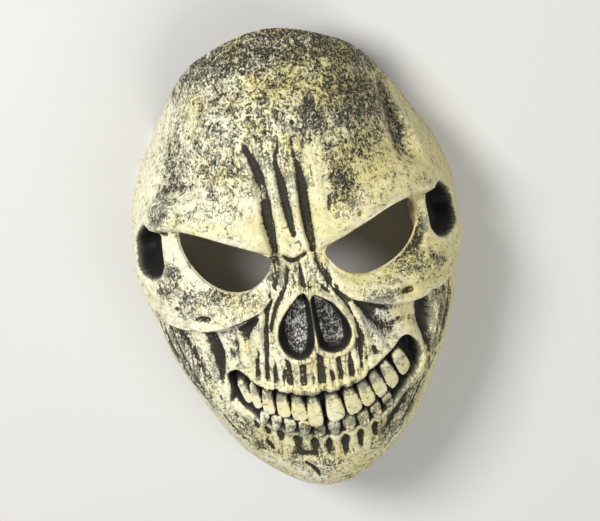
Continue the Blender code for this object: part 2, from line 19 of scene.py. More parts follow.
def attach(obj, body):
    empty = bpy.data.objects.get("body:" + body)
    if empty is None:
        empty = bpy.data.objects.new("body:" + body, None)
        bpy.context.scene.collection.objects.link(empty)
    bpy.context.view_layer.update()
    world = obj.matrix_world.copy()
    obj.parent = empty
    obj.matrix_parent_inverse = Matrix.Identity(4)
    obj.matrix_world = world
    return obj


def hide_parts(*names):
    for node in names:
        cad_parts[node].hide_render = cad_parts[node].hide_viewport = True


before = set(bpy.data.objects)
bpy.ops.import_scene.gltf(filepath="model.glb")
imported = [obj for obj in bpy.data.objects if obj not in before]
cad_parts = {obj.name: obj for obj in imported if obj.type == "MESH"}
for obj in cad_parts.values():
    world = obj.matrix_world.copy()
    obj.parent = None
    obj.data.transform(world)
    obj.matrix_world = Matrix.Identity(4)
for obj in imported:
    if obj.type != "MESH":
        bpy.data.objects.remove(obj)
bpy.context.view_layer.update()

# %% [markdown]
# ## The smooth form
#
# A latex mask is poured into a mould, so the whole face is one skin of even thickness. Its form is easiest
# to steer on a flat map of the face: a place on the map is (across, up) in millimetres from the bridge of
# the nose, and its distance from the bridge is an angle away from the forward axis. The map wraps round the
# face like a peeled orange. A short table gives how far the skin reaches in each direction, and how full
# its curve is.

# %% The smooth form, in millimetres
MM = 0.001
MAP_RADIUS = 80.0  # this far on the map is one radian round the face
FACE_DEPTH = 80.0  # from the bridge of the nose to the centre behind it
BRIDGE_ALONG = 13.5  # how far up from the origin the bridge lies

Section = namedtuple("Section", "clock reach fullness rim_height")
FORM = [
    Section(-90.0, 126.0, 3.2, 10.0),
    Section(-72.0, 114.5, 2.9, 4.0),
    Section(-55.0, 97.0, 2.6, 0.0),
    Section(-38.0, 85.5, 2.5, 0.0),
    Section(-18.0, 77.5, 2.5, 0.0),
    Section(0.0, 76.0, 2.5, 0.0),
    Section(18.0, 74.5, 2.5, 0.0),
    Section(38.0, 74.5, 2.5, 0.0),
    Section(55.0, 83.5, 2.5, 16.0),
    Section(72.0, 99.5, 2.5, 36.0),
    Section(90.0, 107.0, 2.6, 42.0),
]


def form_value(clock, name):
    """Smooth value of one column of the form at clock angles in degrees, the same on both sides."""
    knots = np.array([row.clock + 90.0 for row in FORM])
    values = np.array([getattr(row, name) for row in FORM])
    slopes = np.gradient(values, knots)
    slopes[0] = 0.0
    slopes[-1] = 0.0
    x = np.abs((clock + 270.0) % 360.0 - 180.0)
    i = np.clip(np.searchsorted(knots, x) - 1, 0, len(knots) - 2)
    step = knots[i + 1] - knots[i]
    t = (x - knots[i]) / step
    start = (2 * t ** 3 - 3 * t ** 2 + 1) * values[i] + (t ** 3 - 2 * t ** 2 + t) * step * slopes[i]
    return start + (3 * t ** 2 - 2 * t ** 3) * values[i + 1] + (t ** 3 - t ** 2) * step * slopes[i + 1]


def smooth_radius(across, up):
    """Distance from the centre behind the bridge of the nose to the smooth form."""
    turn = np.hypot(across, up) / MAP_RADIUS
    clock = np.degrees(np.arctan2(up, across))
    fullness = form_value(clock, "fullness")
    side = np.abs(np.sin(turn)) / form_value(clock, "reach")
    front = np.abs(np.cos(turn)) / FACE_DEPTH
    return (side ** fullness + front ** fullness) ** (-1.0 / fullness)


def place(across, up, height):
    """World places, in metres, of map places lifted off the smooth form by a height."""
    turn = np.hypot(across, up) / MAP_RADIUS
    clock = np.arctan2(up, across)
    radius = (smooth_radius(across, up) + height) * MM
    out = radius * np.sin(turn)
    along = out * np.sin(clock) + BRIDGE_ALONG * MM
    return np.stack([out * np.cos(clock), along, radius * np.cos(turn)], axis=-1)


bridge = place(np.array([0.0]), np.array([0.0]), 0.0)[0]
print("bridge of the nose at", bridge.round(4))

# %% [markdown]
# ## Tools for cast relief
#
# A sculptor works with a few kinds of mark: a swelling of clay, a band laid on or scraped out along a path,
# a hollow with a closed edge, a tooth, a pressed pit. Each becomes a function here that returns a height in
# millimetres at places on the map. Adding them up gives the whole sculpture, and one row in a table moves
# or deepens one mark.
#
# The first three functions are for all marks: a soft step, a smooth path through a few points, and a quick
# test that leaves out the places too far from a path to matter.

# %% Soft steps and smooth paths
def smooth_step(t):
    """0 below zero, 1 above one and a smooth rise between them."""
    t = np.clip(t, 0.0, 1.0)
    return t * t * (3.0 - 2.0 * t)


def smooth_rows(rows, closed, steps):
    """Rows of a path with curved rows between them."""
    rows = np.array(rows, float)
    if closed:
        rows = np.vstack([rows[-1:], rows, rows[:2]])
    else:
        rows = np.vstack([2 * rows[:1] - rows[1:2], rows, 2 * rows[-1:] - rows[-2:-1]])
    curve = []
    for k in range(1, len(rows) - 2):
        before, start, end, after = rows[k - 1:k + 3]
        for t in np.arange(steps) / steps:
            square = 2 * before - 5 * start + 4 * end - after
            cube = 3 * start - before - 3 * end + after
            curve.append(0.5 * (2 * start + (end - before) * t + square * t ** 2 + cube * t ** 3))
    if not closed:
        curve.append(rows[-2])
    return np.array(curve)


def near(across, up, path, reach):
    """True for the places that could lie within reach of a path."""
    low = path[:, :2].min(axis=0) - reach
    high = path[:, :2].max(axis=0) + reach
    return (across > low[0]) & (across < high[0]) & (up > low[1]) & (up < high[1])


corner_path = smooth_rows([(0.0, 0.0), (10.0, 0.0), (10.0, 10.0)], False, 4)
print("a path with one corner becomes", len(corner_path), "points")

# %% [markdown]
# ## Bands
#
# A brow, a cheekbone or a furrow is a band: a path with a width and a height at each of its points. Its
# profile is flat in the middle and falls at both edges. Each edge has its own softness, so a brow can roll
# gently up to the forehead and still end in a crisp line over the eye hole.

# %% Height of a band
FAR = 1e9
PATH_STEPS = 6
BAND_REACH = 2.2  # in half widths, the farthest that a band is felt


def band_height(across, up, band):
    """Height of one band at places on the map."""
    path = smooth_rows(band.path, False, PATH_STEPS)
    height = np.zeros(across.shape)
    close = near(across, up, path, BAND_REACH * path[:, 2].max())
    a = across[close]
    b = up[close]
    best = np.full(a.shape, FAR)
    offset = np.zeros(a.shape)
    width = np.ones(a.shape)
    crest = np.zeros(a.shape)
    for start, end in zip(path[:-1], path[1:]):
        run = end[:2] - start[:2]
        t = np.clip(((a - start[0]) * run[0] + (b - start[1]) * run[1]) / (run @ run), 0.0, 1.0)
        da = a - start[0] - t * run[0]
        db = b - start[1] - t * run[1]
        away = np.hypot(da, db)
        nearer = away < best
        side = np.sign(run[0] * db - run[1] * da)
        best = np.where(nearer, away, best)
        offset = np.where(nearer, away * side, offset)
        width = np.where(nearer, start[2] + t * (end[2] - start[2]), width)
        crest = np.where(nearer, start[3] + t * (end[3] - start[3]), crest)
    edge = np.where(offset > 0.0, band.left_edge, band.right_edge)
    height[close] = crest * smooth_step((width * (1.0 + edge) - best) / (2.0 * edge * width))
    return height


def bands_height(across, up, bands):
    """Height of all the bands of a table, on one side of the face or on both."""
    height = np.zeros(across.shape)
    for band in bands:
        height += band_height(np.abs(across) if band.mirrored else across, up, band)
    return height


Band = namedtuple("Band", "name mirrored left_edge right_edge path")
sample_band = Band("sample", False, 0.5, 0.5, [(0.0, 0.0, 2.0, 1.0), (10.0, 0.0, 2.0, 1.0)])
sample_heights = band_height(np.full(4, 5.0), np.array([0.0, 1.0, 2.0, 3.0]), sample_band)
print("from the middle of a band to its edge:", sample_heights.round(2))

# %% [markdown]
# ## Hollows, teeth and pits
#
# A hollow is a closed outline with a depth. How far a place is inside the outline decides how deep it lies.
# Teeth, pits and patches of paint are ovals that may lean to one side and taper to one end.

# %% Closed outlines and ovals
OUTLINE_STEPS = 5
LEAST_RISE = 1e-9
TAPER_LIMIT = 1.2


def depth_in_loop(across, up, loop):
    """Distance of places inside a closed loop of points, negative outside it."""
    best = np.full(across.shape, FAR)
    inside = np.zeros(across.shape, bool)
    for start, end in zip(loop, np.roll(loop, -1, axis=0)):
        run = end - start
        t = np.clip(((across - start[0]) * run[0] + (up - start[1]) * run[1]) / (run @ run), 0.0, 1.0)
        best = np.minimum(best, np.hypot(across - start[0] - t * run[0], up - start[1] - t * run[1]))
        spans = (start[1] > up) != (end[1] > up)
        rise = run[1] if abs(run[1]) > LEAST_RISE else LEAST_RISE
        inside ^= spans & (across < start[0] + (up - start[1]) / rise * run[0])
    return np.where(inside, best, -best)


def depth_inside(across, up, outline, reach):
    """Distance inside a smoothed outline, negative outside it and no lower than minus the reach."""
    path = smooth_rows(outline, True, OUTLINE_STEPS)
    depth = np.full(across.shape, -float(reach))
    close = near(across, up, path, reach)
    depth[close] = np.maximum(depth_in_loop(across[close], up[close], path), -reach)
    return depth


def oval(across, up, spot, squareness=2.0):
    """0 at the centre of a leaning oval spot and 1 at its edge."""
    lean = math.radians(spot.lean)
    u = (across - spot.across) * math.cos(lean) - (up - spot.up) * math.sin(lean)
    v = (across - spot.across) * math.sin(lean) + (up - spot.up) * math.cos(lean)
    taper = getattr(spot, "taper", 0.0) * np.clip(v / spot.half_length, -TAPER_LIMIT, TAPER_LIMIT)
    half_width = spot.half_width * (1.0 - taper)
    powers = np.abs(u / half_width) ** squareness + np.abs(v / spot.half_length) ** squareness
    return powers ** (1 / squareness)


Pit = namedtuple("Pit", "across up half_width half_length lean depth")
edge_of_pit = oval(np.array([0.0, 2.0]), np.array([0.0, 0.0]), Pit(0.0, 0.0, 2.0, 1.0, 0.0, 1.0))
print("an oval at its centre and its edge:", edge_of_pit)

# %% [markdown]
# ## The bones of the face
#
# These tables hold the big forms: brows and cheekbones that end in a crisp lower edge, the nose, the jaw
# and the furrows of the frown. They are the same rows as the solid under the render was made from, so the
# two agree. A point of a band is its place across and up the face, its half width and its height. The right
# side of the mask is on the left of the picture, at minus values across.

# %% Swells and bands
Swell = namedtuple("Swell", "across up spread_across spread_up height")
SWELLS = [
    Swell(0.0, 52.0, 46.0, 26.0, 2.0),
    Swell(1.0, -22.0, 15.0, 19.0, 5.5),
    Swell(2.0, -56.0, 33.0, 16.0, 6.5),
    Swell(0.0, -86.0, 24.0, 11.0, 4.0),
    Swell(-2.0, 6.0, 7.0, 5.0, 2.4),
    Swell(-24.0, 27.0, 11.0, 9.0, 2.0),
    Swell(20.0, 27.0, 10.0, 9.0, 2.0),
]

BANDS = [
    Band("brow", True, 0.85, 0.16, [
        (9.0, 8.5, 4.5, 1.0),
        (17.0, 13.0, 6.0, 4.2),
        (28.0, 18.5, 7.0, 6.0),
        (42.0, 23.5, 7.5, 6.5),
        (56.0, 25.5, 7.5, 6.5),
        (68.0, 24.0, 7.0, 5.5),
        (78.0, 21.0, 5.5, 2.5),
    ]),
    Band("cheekbone", True, 0.8, 0.14, [
        (16.0, -12.0, 3.5, 1.0),
        (24.0, -17.0, 4.5, 3.2),
        (36.0, -20.0, 6.0, 4.8),
        (49.0, -21.0, 8.0, 5.2),
        (61.0, -19.0, 10.5, 5.2),
        (73.0, -17.0, 11.5, 4.6),
        (86.0, -13.0, 10.0, 3.0),
    ]),
    Band("orbit_bar", True, 0.8, 0.6, [
        (64.5, 18.0, 2.6, 0.5),
        (62.8, 10.0, 2.4, 1.8),
        (62.0, 2.0, 2.8, 1.8),
        (62.0, -6.0, 4.0, 0.5),
    ]),
    Band("temple_ridge", False, 0.7, 0.9, [
        (68.0, 68.0, 3.0, 0.5),
        (72.0, 55.0, 4.0, 2.8),
        (74.0, 40.0, 4.5, 3.2),
        (77.0, 27.0, 4.5, 1.5),
    ]),
    Band("temple_groove", False, 0.9, 0.8, [
        (57.0, 78.0, 3.0, -0.6),
        (60.0, 67.0, 4.5, -2.4),
        (61.0, 56.0, 5.0, -2.8),
        (61.0, 46.0, 4.5, -2.0),
        (61.5, 37.0, 3.5, -0.5),
    ]),
    Band("jaw_branch", True, 0.6, 0.5, [
        (76.0, -34.0, 6.0, 1.5),
        (66.0, -44.0, 7.0, 3.2),
        (55.0, -57.0, 7.0, 3.0),
        (44.0, -69.0, 6.0, 1.8),
        (32.0, -79.0, 5.0, 0.8),
    ]),
    Band("cheek_trough_right", False, 0.5, 0.4, [
        (-50.0, -30.0, 2.4, -1.6),
        (-46.5, -38.0, 3.0, -3.6),
        (-42.5, -48.0, 3.0, -3.8),
        (-38.5, -57.0, 2.4, -2.8),
        (-33.0, -63.5, 1.6, -1.0),
    ]),
    Band("cheek_trough_left", False, 0.4, 0.5, [
        (57.0, -30.0, 2.4, -1.6),
        (55.5, -38.0, 2.8, -3.6),
        (53.5, -47.0, 2.6, -3.2),
        (49.5, -56.0, 2.0, -1.2),
    ]),
    Band("nose_side_ridge", True, 0.7, 0.5, [
        (17.0, -15.0, 1.8, 0.4),
        (21.0, -25.0, 2.4, 1.6),
        (24.0, -35.0, 2.6, 1.8),
        (28.0, -42.0, 2.6, 1.0),
    ]),
    Band("furrow_right", False, 0.55, 0.55, [
        (-16.0, 52.0, 1.2, -0.6),
        (-12.5, 43.0, 2.1, -2.6),
        (-11.0, 32.0, 2.5, -3.6),
        (-11.0, 20.0, 2.4, -3.6),
        (-10.0, 7.0, 1.8, -2.6),
    ]),
    Band("furrow_middle", False, 0.55, 0.55, [
        (-3.6, 43.0, 1.0, -0.6),
        (-2.6, 34.0, 1.8, -2.4),
        (-1.8, 23.0, 1.8, -2.4),
        (-0.6, 13.0, 1.2, -0.8),
    ]),
    Band("furrow_left", False, 0.55, 0.55, [
        (5.5, 42.0, 1.2, -0.8),
        (6.0, 32.0, 2.1, -3.0),
        (6.0, 20.0, 2.3, -3.4),
        (7.0, 6.0, 1.8, -2.6),
    ]),
    Band("glabella_fold", False, 0.5, 0.5, [
        (-8.0, 5.0, 0.9, -1.0),
        (-3.0, 1.6, 1.1, -1.7),
        (3.5, 4.0, 0.9, -1.0),
    ]),
    Band("bridge_seam", False, 0.5, 0.5, [
        (0.0, 1.0, 0.6, -0.6),
        (0.0, -7.0, 0.8, -1.2),
        (0.8, -15.0, 0.8, -0.8),
    ]),
    Band("thin_cheek_ridge", False, 0.7, 0.7, [
        (-33.0, -29.0, 1.2, 0.6),
        (-31.0, -36.0, 1.6, 2.0),
        (-29.0, -42.0, 1.2, 0.6),
    ]),
    Band("mouth_end_right", False, 0.5, 0.5, [
        (-28.5, -48.0, 1.0, -0.6),
        (-33.5, -47.6, 1.5, -2.0),
        (-37.2, -52.6, 1.8, -2.8),
        (-36.5, -59.2, 1.7, -2.6),
        (-31.5, -62.2, 1.4, -1.6),
        (-26.5, -62.6, 1.0, -0.6),
    ]),
    Band("mouth_end_left", False, 0.5, 0.5, [
        (34.5, -47.6, 1.0, -0.8),
        (39.8, -46.0, 1.8, -2.6),
        (43.8, -52.4, 2.2, -3.4),
        (42.2, -59.8, 2.0, -3.0),
        (37.6, -62.6, 1.4, -1.6),
        (33.0, -62.8, 1.0, -0.6),
    ]),
]

print(len(SWELLS), "swells and", len(BANDS), "bands")

# %% [markdown]
# ## The hollows and the eye holes
#
# The temples, cheeks, nose and mouth are recesses with a closed floor, which the painter fills with black
# or flecks. Only the eye holes go right through. The nose and the mouth have a raised rim.

# %% Hollows and eye holes
Hollow = namedtuple("Hollow", "name mirrored depth edge rim outline")
HOLLOWS = [
    Hollow("temple_hollow", True, 10.0, 2.6, 0.0, [
        (66.5, 14.5), (72.5, 18.0), (84.0, 18.0), (95.0, 10.0), (97.5, 1.0), (91.0, -5.5), (80.0, -8.5),
        (69.5, -6.5), (65.6, 0.0), (65.4, 8.0),
    ]),
    Hollow("cheek_hollow_right", False, 4.2, 4.0, 0.0, [
        (-21.0, -23.0), (-32.0, -27.5), (-44.0, -30.5), (-51.0, -31.0), (-48.0, -40.0), (-44.0, -50.0),
        (-40.0, -55.5), (-38.5, -47.0), (-33.0, -43.0), (-28.0, -36.0), (-23.5, -30.0),
    ]),
    Hollow("cheek_hollow_left", False, 4.2, 4.0, 0.0, [
        (21.0, -21.0), (32.0, -26.5), (45.0, -30.5), (58.0, -31.0), (59.0, -40.0), (56.0, -48.0),
        (50.5, -50.0), (46.0, -43.5), (40.0, -42.5), (34.0, -43.0), (27.0, -37.0), (23.0, -29.0),
    ]),
    Hollow("nose_lobe_right", False, 8.0, 1.6, 1.8, [
        (-1.0, -13.2), (-4.0, -15.5), (-8.1, -20.1), (-11.6, -25.8), (-12.7, -31.3), (-11.3, -35.8),
        (-8.3, -38.2), (-5.0, -38.9), (-1.5, -37.3), (0.4, -33.0), (1.0, -26.7), (1.1, -19.7), (0.8, -15.2),
    ]),
    Hollow("nose_lobe_left", False, 8.0, 1.6, 1.8, [
        (3.0, -14.5), (6.4, -15.9), (10.6, -19.4), (13.8, -24.7), (16.1, -30.3), (16.0, -34.8),
        (13.3, -37.6), (9.2, -38.3), (5.6, -37.1), (3.5, -34.7), (2.9, -29.5), (2.7, -23.9), (2.6, -18.5),
    ]),
    Hollow("mouth", False, 4.6, 1.3, 0.9, [
        (-38.6, -52.2), (-35.1, -47.9), (-29.9, -47.9), (-24.3, -50.0), (-19.0, -50.8), (-13.8, -51.4),
        (-7.5, -52.0), (-0.6, -52.0), (5.8, -52.0), (12.5, -52.0), (17.3, -51.4), (21.1, -49.8),
        (26.8, -48.3), (32.9, -46.8), (37.1, -45.4), (42.1, -45.9), (46.2, -51.9), (45.7, -57.5),
        (42.0, -62.0), (37.0, -63.6), (32.1, -64.6), (28.3, -66.4), (23.6, -67.8), (19.3, -68.2),
        (13.8, -68.4), (8.6, -68.3), (3.1, -67.9), (-2.2, -67.4), (-7.5, -66.4), (-12.9, -66.0),
        (-18.4, -65.2), (-23.4, -64.2), (-27.9, -62.6), (-33.0, -62.4), (-36.7, -59.1),
    ]),
]
RIM_WIDTH = 1.4
RIM_AWAY = 1.2 * RIM_WIDTH
RIM_REACH = 4.0 * RIM_WIDTH
EDGE_OUTSIDE = 0.3  # the part of a hollow's edge that lies outside its outline

EYE_HOLES = {
    "right": [
        (-13.5, 3.6), (-23.0, 8.2), (-34.0, 12.6), (-46.0, 16.0), (-56.5, 17.8), (-57.5, 13.0),
        (-54.5, 5.0), (-48.5, -3.5), (-41.0, -9.8), (-32.5, -12.6), (-24.0, -11.5), (-17.0, -6.5),
        (-13.2, -0.5),
    ],
    "left": [
        (12.5, 3.4), (22.0, 8.8), (31.0, 13.0), (41.0, 16.6), (50.0, 18.0), (58.5, 16.6),
        (61.0, 11.5), (59.0, 3.0), (53.5, -4.0), (45.5, -9.0), (36.0, -11.8), (28.0, -12.2),
        (20.0, -8.8), (14.5, -3.0),
    ],
}
LID_WIDTH = 5.0
LID_REACH = 2.0 * LID_WIDTH
LID_DROP = 1.6
print(len(HOLLOWS), "hollows and", len(EYE_HOLES), "eye holes")

# %% [markdown]
# ## The teeth
#
# Upper and lower teeth are squarish ovals that stand up from the floor of the mouth. Small pits are pressed
# between the roots below them, on the chin and in the cheekbones.

# %% Teeth and pits
Tooth = namedtuple("Tooth", "across up half_width half_length lean taper height")
TEETH = [
    Tooth(-30.3, -54.8, 2.1, 4.8, -33.0, 0.1, 4.0),
    Tooth(-25.6, -55.0, 2.1, 5.0, -14.0, 0.15, 4.4),
    Tooth(-20.3, -55.8, 2.5, 5.0, -6.0, 0.18, 4.8),
    Tooth(-14.5, -56.3, 2.6, 4.5, -8.0, 0.2, 5.0),
    Tooth(-8.6, -57.0, 2.8, 4.5, -3.0, 0.22, 5.1),
    Tooth(-2.8, -58.2, 2.8, 5.8, 0.0, 0.2, 5.3),
    Tooth(4.7, -57.6, 3.3, 5.1, -5.0, 0.22, 5.3),
    Tooth(11.6, -57.5, 3.0, 4.9, -12.0, 0.2, 5.2),
    Tooth(17.5, -56.9, 2.7, 4.9, -16.0, 0.18, 5.1),
    Tooth(23.1, -56.0, 2.6, 5.3, -18.0, 0.16, 5.0),
    Tooth(29.0, -55.6, 2.8, 6.0, -18.0, 0.12, 4.7),
    Tooth(36.0, -54.6, 3.3, 6.2, -18.0, 0.05, 4.3),
    Tooth(-22.4, -62.6, 2.2, 1.7, -10.0, 0.0, 3.6),
    Tooth(-17.7, -63.2, 2.3, 2.0, -4.0, 0.0, 3.9),
    Tooth(-12.6, -63.7, 2.5, 2.1, -2.0, 0.0, 4.1),
    Tooth(-7.2, -64.0, 2.6, 2.2, 0.0, 0.0, 4.2),
    Tooth(-1.9, -65.7, 2.4, 1.6, 2.0, 0.0, 4.0),
    Tooth(3.5, -65.4, 2.6, 2.2, 1.0, 0.0, 4.2),
    Tooth(9.2, -65.7, 2.7, 2.4, -1.0, 0.0, 4.2),
    Tooth(14.8, -65.9, 2.6, 2.4, -3.0, 0.0, 4.1),
    Tooth(20.3, -65.6, 2.5, 2.4, -6.0, 0.0, 3.9),
    Tooth(25.8, -64.6, 2.4, 2.3, -8.0, 0.0, 3.6),
]
TOOTH_SQUARENESS = 3.2
TOOTH_EDGE = 0.26

PIT_FALL = 1.2
PITS = [
    Pit(-45.0, -22.0, 4.0, 1.9, -8.0, 2.8),
    Pit(44.5, -22.5, 3.6, 2.1, 8.0, 2.6),
    Pit(-26.1, -67.0, 1.2, 2.4, -6.0, 1.8),
    Pit(-21.8, -68.4, 1.3, 2.6, -6.0, 2.0),
    Pit(-16.8, -69.2, 1.9, 2.9, 0.0, 2.3),
    Pit(-10.6, -70.9, 2.1, 3.9, 2.0, 2.4),
    Pit(-4.4, -71.0, 1.7, 4.1, 6.0, 2.3),
    Pit(0.8, -71.2, 1.3, 4.0, 8.0, 2.2),
    Pit(6.8, -72.2, 1.9, 4.9, 4.0, 2.4),
    Pit(12.6, -73.0, 1.7, 4.7, 4.0, 2.3),
    Pit(18.6, -72.6, 1.4, 3.9, 3.0, 2.0),
    Pit(-7.6, -75.6, 4.4, 1.5, 0.0, 1.4),
    Pit(26.5, -73.4, 1.6, 5.6, 48.0, 1.5),
    Pit(-21.4, -75.6, 1.2, 2.4, -32.0, 1.2),
]
print(len(TEETH), "teeth and", len(PITS), "pits")

# %% [markdown]
# ## Fine carving
#
# Close up, the cast is full of small cuts: roots above and below the teeth, streaks that run from the
# corners of the eye holes past the nose, fibres down the jaw and scratches in the frown. They are too fine
# for the solid, so only the visible skin has them.

# %% Fine marks
FINE_BANDS = [
    Band("eye_hole_corner_right", False, 0.6, 0.6, [
        (-11.0, 12.0, 1.0, -0.5), (-10.4, 2.0, 1.4, -1.8), (-11.4, -6.0, 1.5, -1.5),
        (-15.0, -14.0, 1.3, -1.1), (-18.6, -25.0, 1.2, -1.1), (-19.2, -37.0, 1.2, -1.0),
        (-18.8, -49.0, 1.0, -0.6),
    ]),
    Band("side_cut_right", False, 0.6, 0.6, [
        (-21.0, -22.5, 1.0, -0.4), (-23.6, -33.7, 1.2, -1.0), (-23.4, -46.0, 1.0, -0.6),
    ]),
    Band("side_rib_right", False, 0.7, 0.7, [
        (-17.5, -16.0, 1.1, 0.3), (-21.3, -29.0, 1.3, 0.8), (-21.2, -45.0, 1.0, 0.4),
    ]),
    Band("rim_line_right", False, 0.6, 0.6, [
        (-5.1, -0.8, 0.9, -0.5), (-8.0, -9.7, 1.1, -1.0), (-13.2, -19.1, 1.0, -0.9),
        (-16.2, -29.0, 0.9, -0.5),
    ]),
    Band("eye_hole_corner_left", False, 0.6, 0.6, [
        (7.0, 8.0, 1.2, -0.6), (9.0, -3.0, 1.9, -2.0), (13.0, -12.5, 1.9, -1.8), (17.5, -21.0, 1.6, -1.5),
        (21.0, -31.0, 1.4, -1.3), (21.0, -42.0, 1.2, -1.0), (20.6, -51.5, 1.0, -0.6),
    ]),
    Band("side_cut_left", False, 0.6, 0.6, [
        (5.4, -4.0, 0.9, -0.6), (9.6, -14.0, 1.1, -0.9), (15.2, -23.0, 1.1, -1.0), (19.0, -33.0, 1.0, -0.9),
        (18.4, -43.0, 1.0, -0.6),
    ]),
    Band("side_rib_left", False, 0.7, 0.7, [
        (11.6, -13.0, 1.0, 0.5), (17.0, -25.0, 1.1, 0.9), (19.8, -37.0, 1.0, 0.6),
    ]),
    Band("outer_cut_left", False, 0.6, 0.6, [
        (18.0, -17.8, 1.0, -0.6), (22.8, -25.5, 1.3, -1.2), (25.0, -36.0, 1.3, -1.1),
        (25.4, -46.0, 1.0, -0.6),
    ]),
    Band("jaw_fibre_1", True, 0.6, 0.6, [
        (75.0, -33.0, 0.8, -0.5), (65.0, -47.0, 1.1, -0.9), (53.0, -64.0, 0.8, -0.4),
    ]),
    Band("jaw_fibre_2", True, 0.6, 0.6, [
        (68.0, -34.0, 0.8, -0.5), (59.0, -46.5, 1.1, -1.0), (49.0, -62.0, 0.8, -0.5),
    ]),
    Band("jaw_fibre_3", True, 0.6, 0.6, [
        (63.0, -38.0, 0.7, 0.3), (56.5, -49.0, 0.9, 0.6), (48.5, -62.5, 0.7, 0.3),
    ]),
    Band("jaw_fibre_4", True, 0.6, 0.6, [
        (47.0, -66.0, 0.7, -0.3), (38.0, -74.0, 0.9, -0.7), (27.0, -81.0, 0.7, -0.3),
    ]),
    Band("frown_1", False, 0.6, 0.6, [
        (-14.0, 58.5, 0.7, -0.1), (-10.0, 53.5, 0.9, -0.4), (-7.0, 48.5, 0.7, -0.1),
    ]),
    Band("frown_2", False, 0.6, 0.6, [
        (-8.2, 58.4, 0.7, -0.1), (-5.6, 54.0, 0.8, -0.3), (-3.8, 49.5, 0.7, -0.1),
    ]),
    Band("frown_3", False, 0.6, 0.6, [
        (-0.6, 52.0, 0.8, -0.3), (-3.6, 44.5, 1.0, -0.9), (-3.4, 36.0, 0.8, -0.4),
    ]),
    Band("frown_4", False, 0.6, 0.6, [
        (4.0, 52.0, 0.8, -0.3), (4.4, 44.0, 1.0, -0.8), (5.4, 38.0, 0.8, -0.4),
    ]),
    Band("frown_5", False, 0.6, 0.6, [
        (11.9, 51.0, 0.8, -0.3), (13.0, 43.0, 1.0, -0.7), (13.6, 36.0, 0.8, -0.2),
    ]),
    Band("frown_6", False, 0.6, 0.6, [
        (-19.0, 53.0, 0.8, -0.1), (-14.6, 47.0, 1.0, -0.5), (-12.6, 42.0, 0.9, -0.3),
    ]),
    Band("frown_rib_right", False, 0.7, 0.7, [
        (-7.4, 44.0, 1.0, 0.3), (-6.6, 28.0, 1.8, 1.2), (-5.4, 12.0, 1.2, 0.4),
    ]),
    Band("frown_rib_left", False, 0.7, 0.7, [
        (1.6, 42.0, 1.0, 0.3), (2.0, 26.0, 1.6, 1.1), (2.8, 12.0, 1.2, 0.4),
    ]),
    Band("frown_rib_outer", False, 0.7, 0.7, [
        (12.0, 46.0, 1.4, 0.4), (12.4, 30.0, 2.2, 1.2), (13.0, 15.0, 1.8, 0.5),
    ]),
    Band("brow_arc", False, 0.6, 0.6, [
        (-45.0, 37.0, 0.9, -0.1), (-38.0, 44.5, 1.3, -0.35), (-28.6, 47.4, 1.3, -0.35),
        (-20.5, 45.5, 1.1, -0.3), (-16.4, 39.5, 0.9, -0.1),
    ]),
    Band("brow_line", False, 0.6, 0.6, [
        (-28.4, 41.0, 0.8, -0.1), (-28.0, 33.5, 1.2, -0.35), (-26.4, 25.5, 0.8, -0.1),
    ]),
    Band("chin_squiggle", False, 0.5, 0.5, [
        (-8.6, -79.0, 0.7, -0.7), (-5.4, -81.5, 0.9, -1.0), (-3.8, -86.0, 0.7, -0.5),
    ]),
    Band("chin_scratch", False, 0.5, 0.5, [
        (2.6, -86.3, 0.7, -0.4), (7.1, -88.6, 0.8, -0.6), (13.4, -90.4, 0.7, -0.3),
    ]),
]
print("fine bands:", len(FINE_BANDS))

# %% [markdown]
# ## The roots of the teeth
#
# A root is a short cut above a tooth, deepest in its middle and a little shallower at both ends. As all the
# roots have the same profile, a table of their ends, widths and depths is enough, and a loop makes bands of
# them.

# %% Root cuts and small pits
Cut = namedtuple("Cut", "from_across from_up to_across to_up half_width depth")
ROOT_CUTS = [
    Cut(-16.2, -41.0, -16.4, -50.5, 1.0, 1.5),
    Cut(-12.6, -42.8, -13.2, -48.6, 0.75, 1.3),
    Cut(-10.8, -40.5, -10.5, -50.3, 1.5, 1.7),
    Cut(-4.6, -41.1, -5.6, -50.4, 1.4, 1.7),
    Cut(-0.9, -43.0, -1.4, -48.8, 0.75, 1.3),
    Cut(2.2, -40.4, 1.6, -51.3, 1.8, 1.9),
    Cut(5.8, -44.4, 6.3, -49.6, 1.1, 1.5),
    Cut(9.6, -41.1, 9.0, -51.5, 1.3, 1.6),
    Cut(14.5, -42.0, 13.5, -50.7, 1.2, 1.6),
    Cut(20.7, -36.1, 17.9, -48.6, 0.8, 1.3),
    Cut(-21.6, -28.5, -22.3, -38.6, 0.8, 1.3),
    Cut(-19.6, -39.2, -19.9, -48.0, 0.75, 1.3),
]
ROOT_EDGE = 0.5
TOP_WIDTH = 0.7
TOP_DEPTH = 0.33
FOOT_WIDTH = 0.85
FOOT_DEPTH = 0.72


def root_band(cut):
    """The band of one root, from its shallow top to its foot at the tooth."""
    middle = ((cut.from_across + cut.to_across) / 2, (cut.from_up + cut.to_up) / 2)
    return Band("root", False, ROOT_EDGE, ROOT_EDGE, [
        (cut.from_across, cut.from_up, TOP_WIDTH * cut.half_width, -TOP_DEPTH * cut.depth),
        (*middle, cut.half_width, -cut.depth),
        (cut.to_across, cut.to_up, FOOT_WIDTH * cut.half_width, -FOOT_DEPTH * cut.depth),
    ])


for cut in ROOT_CUTS:
    FINE_BANDS.append(root_band(cut))

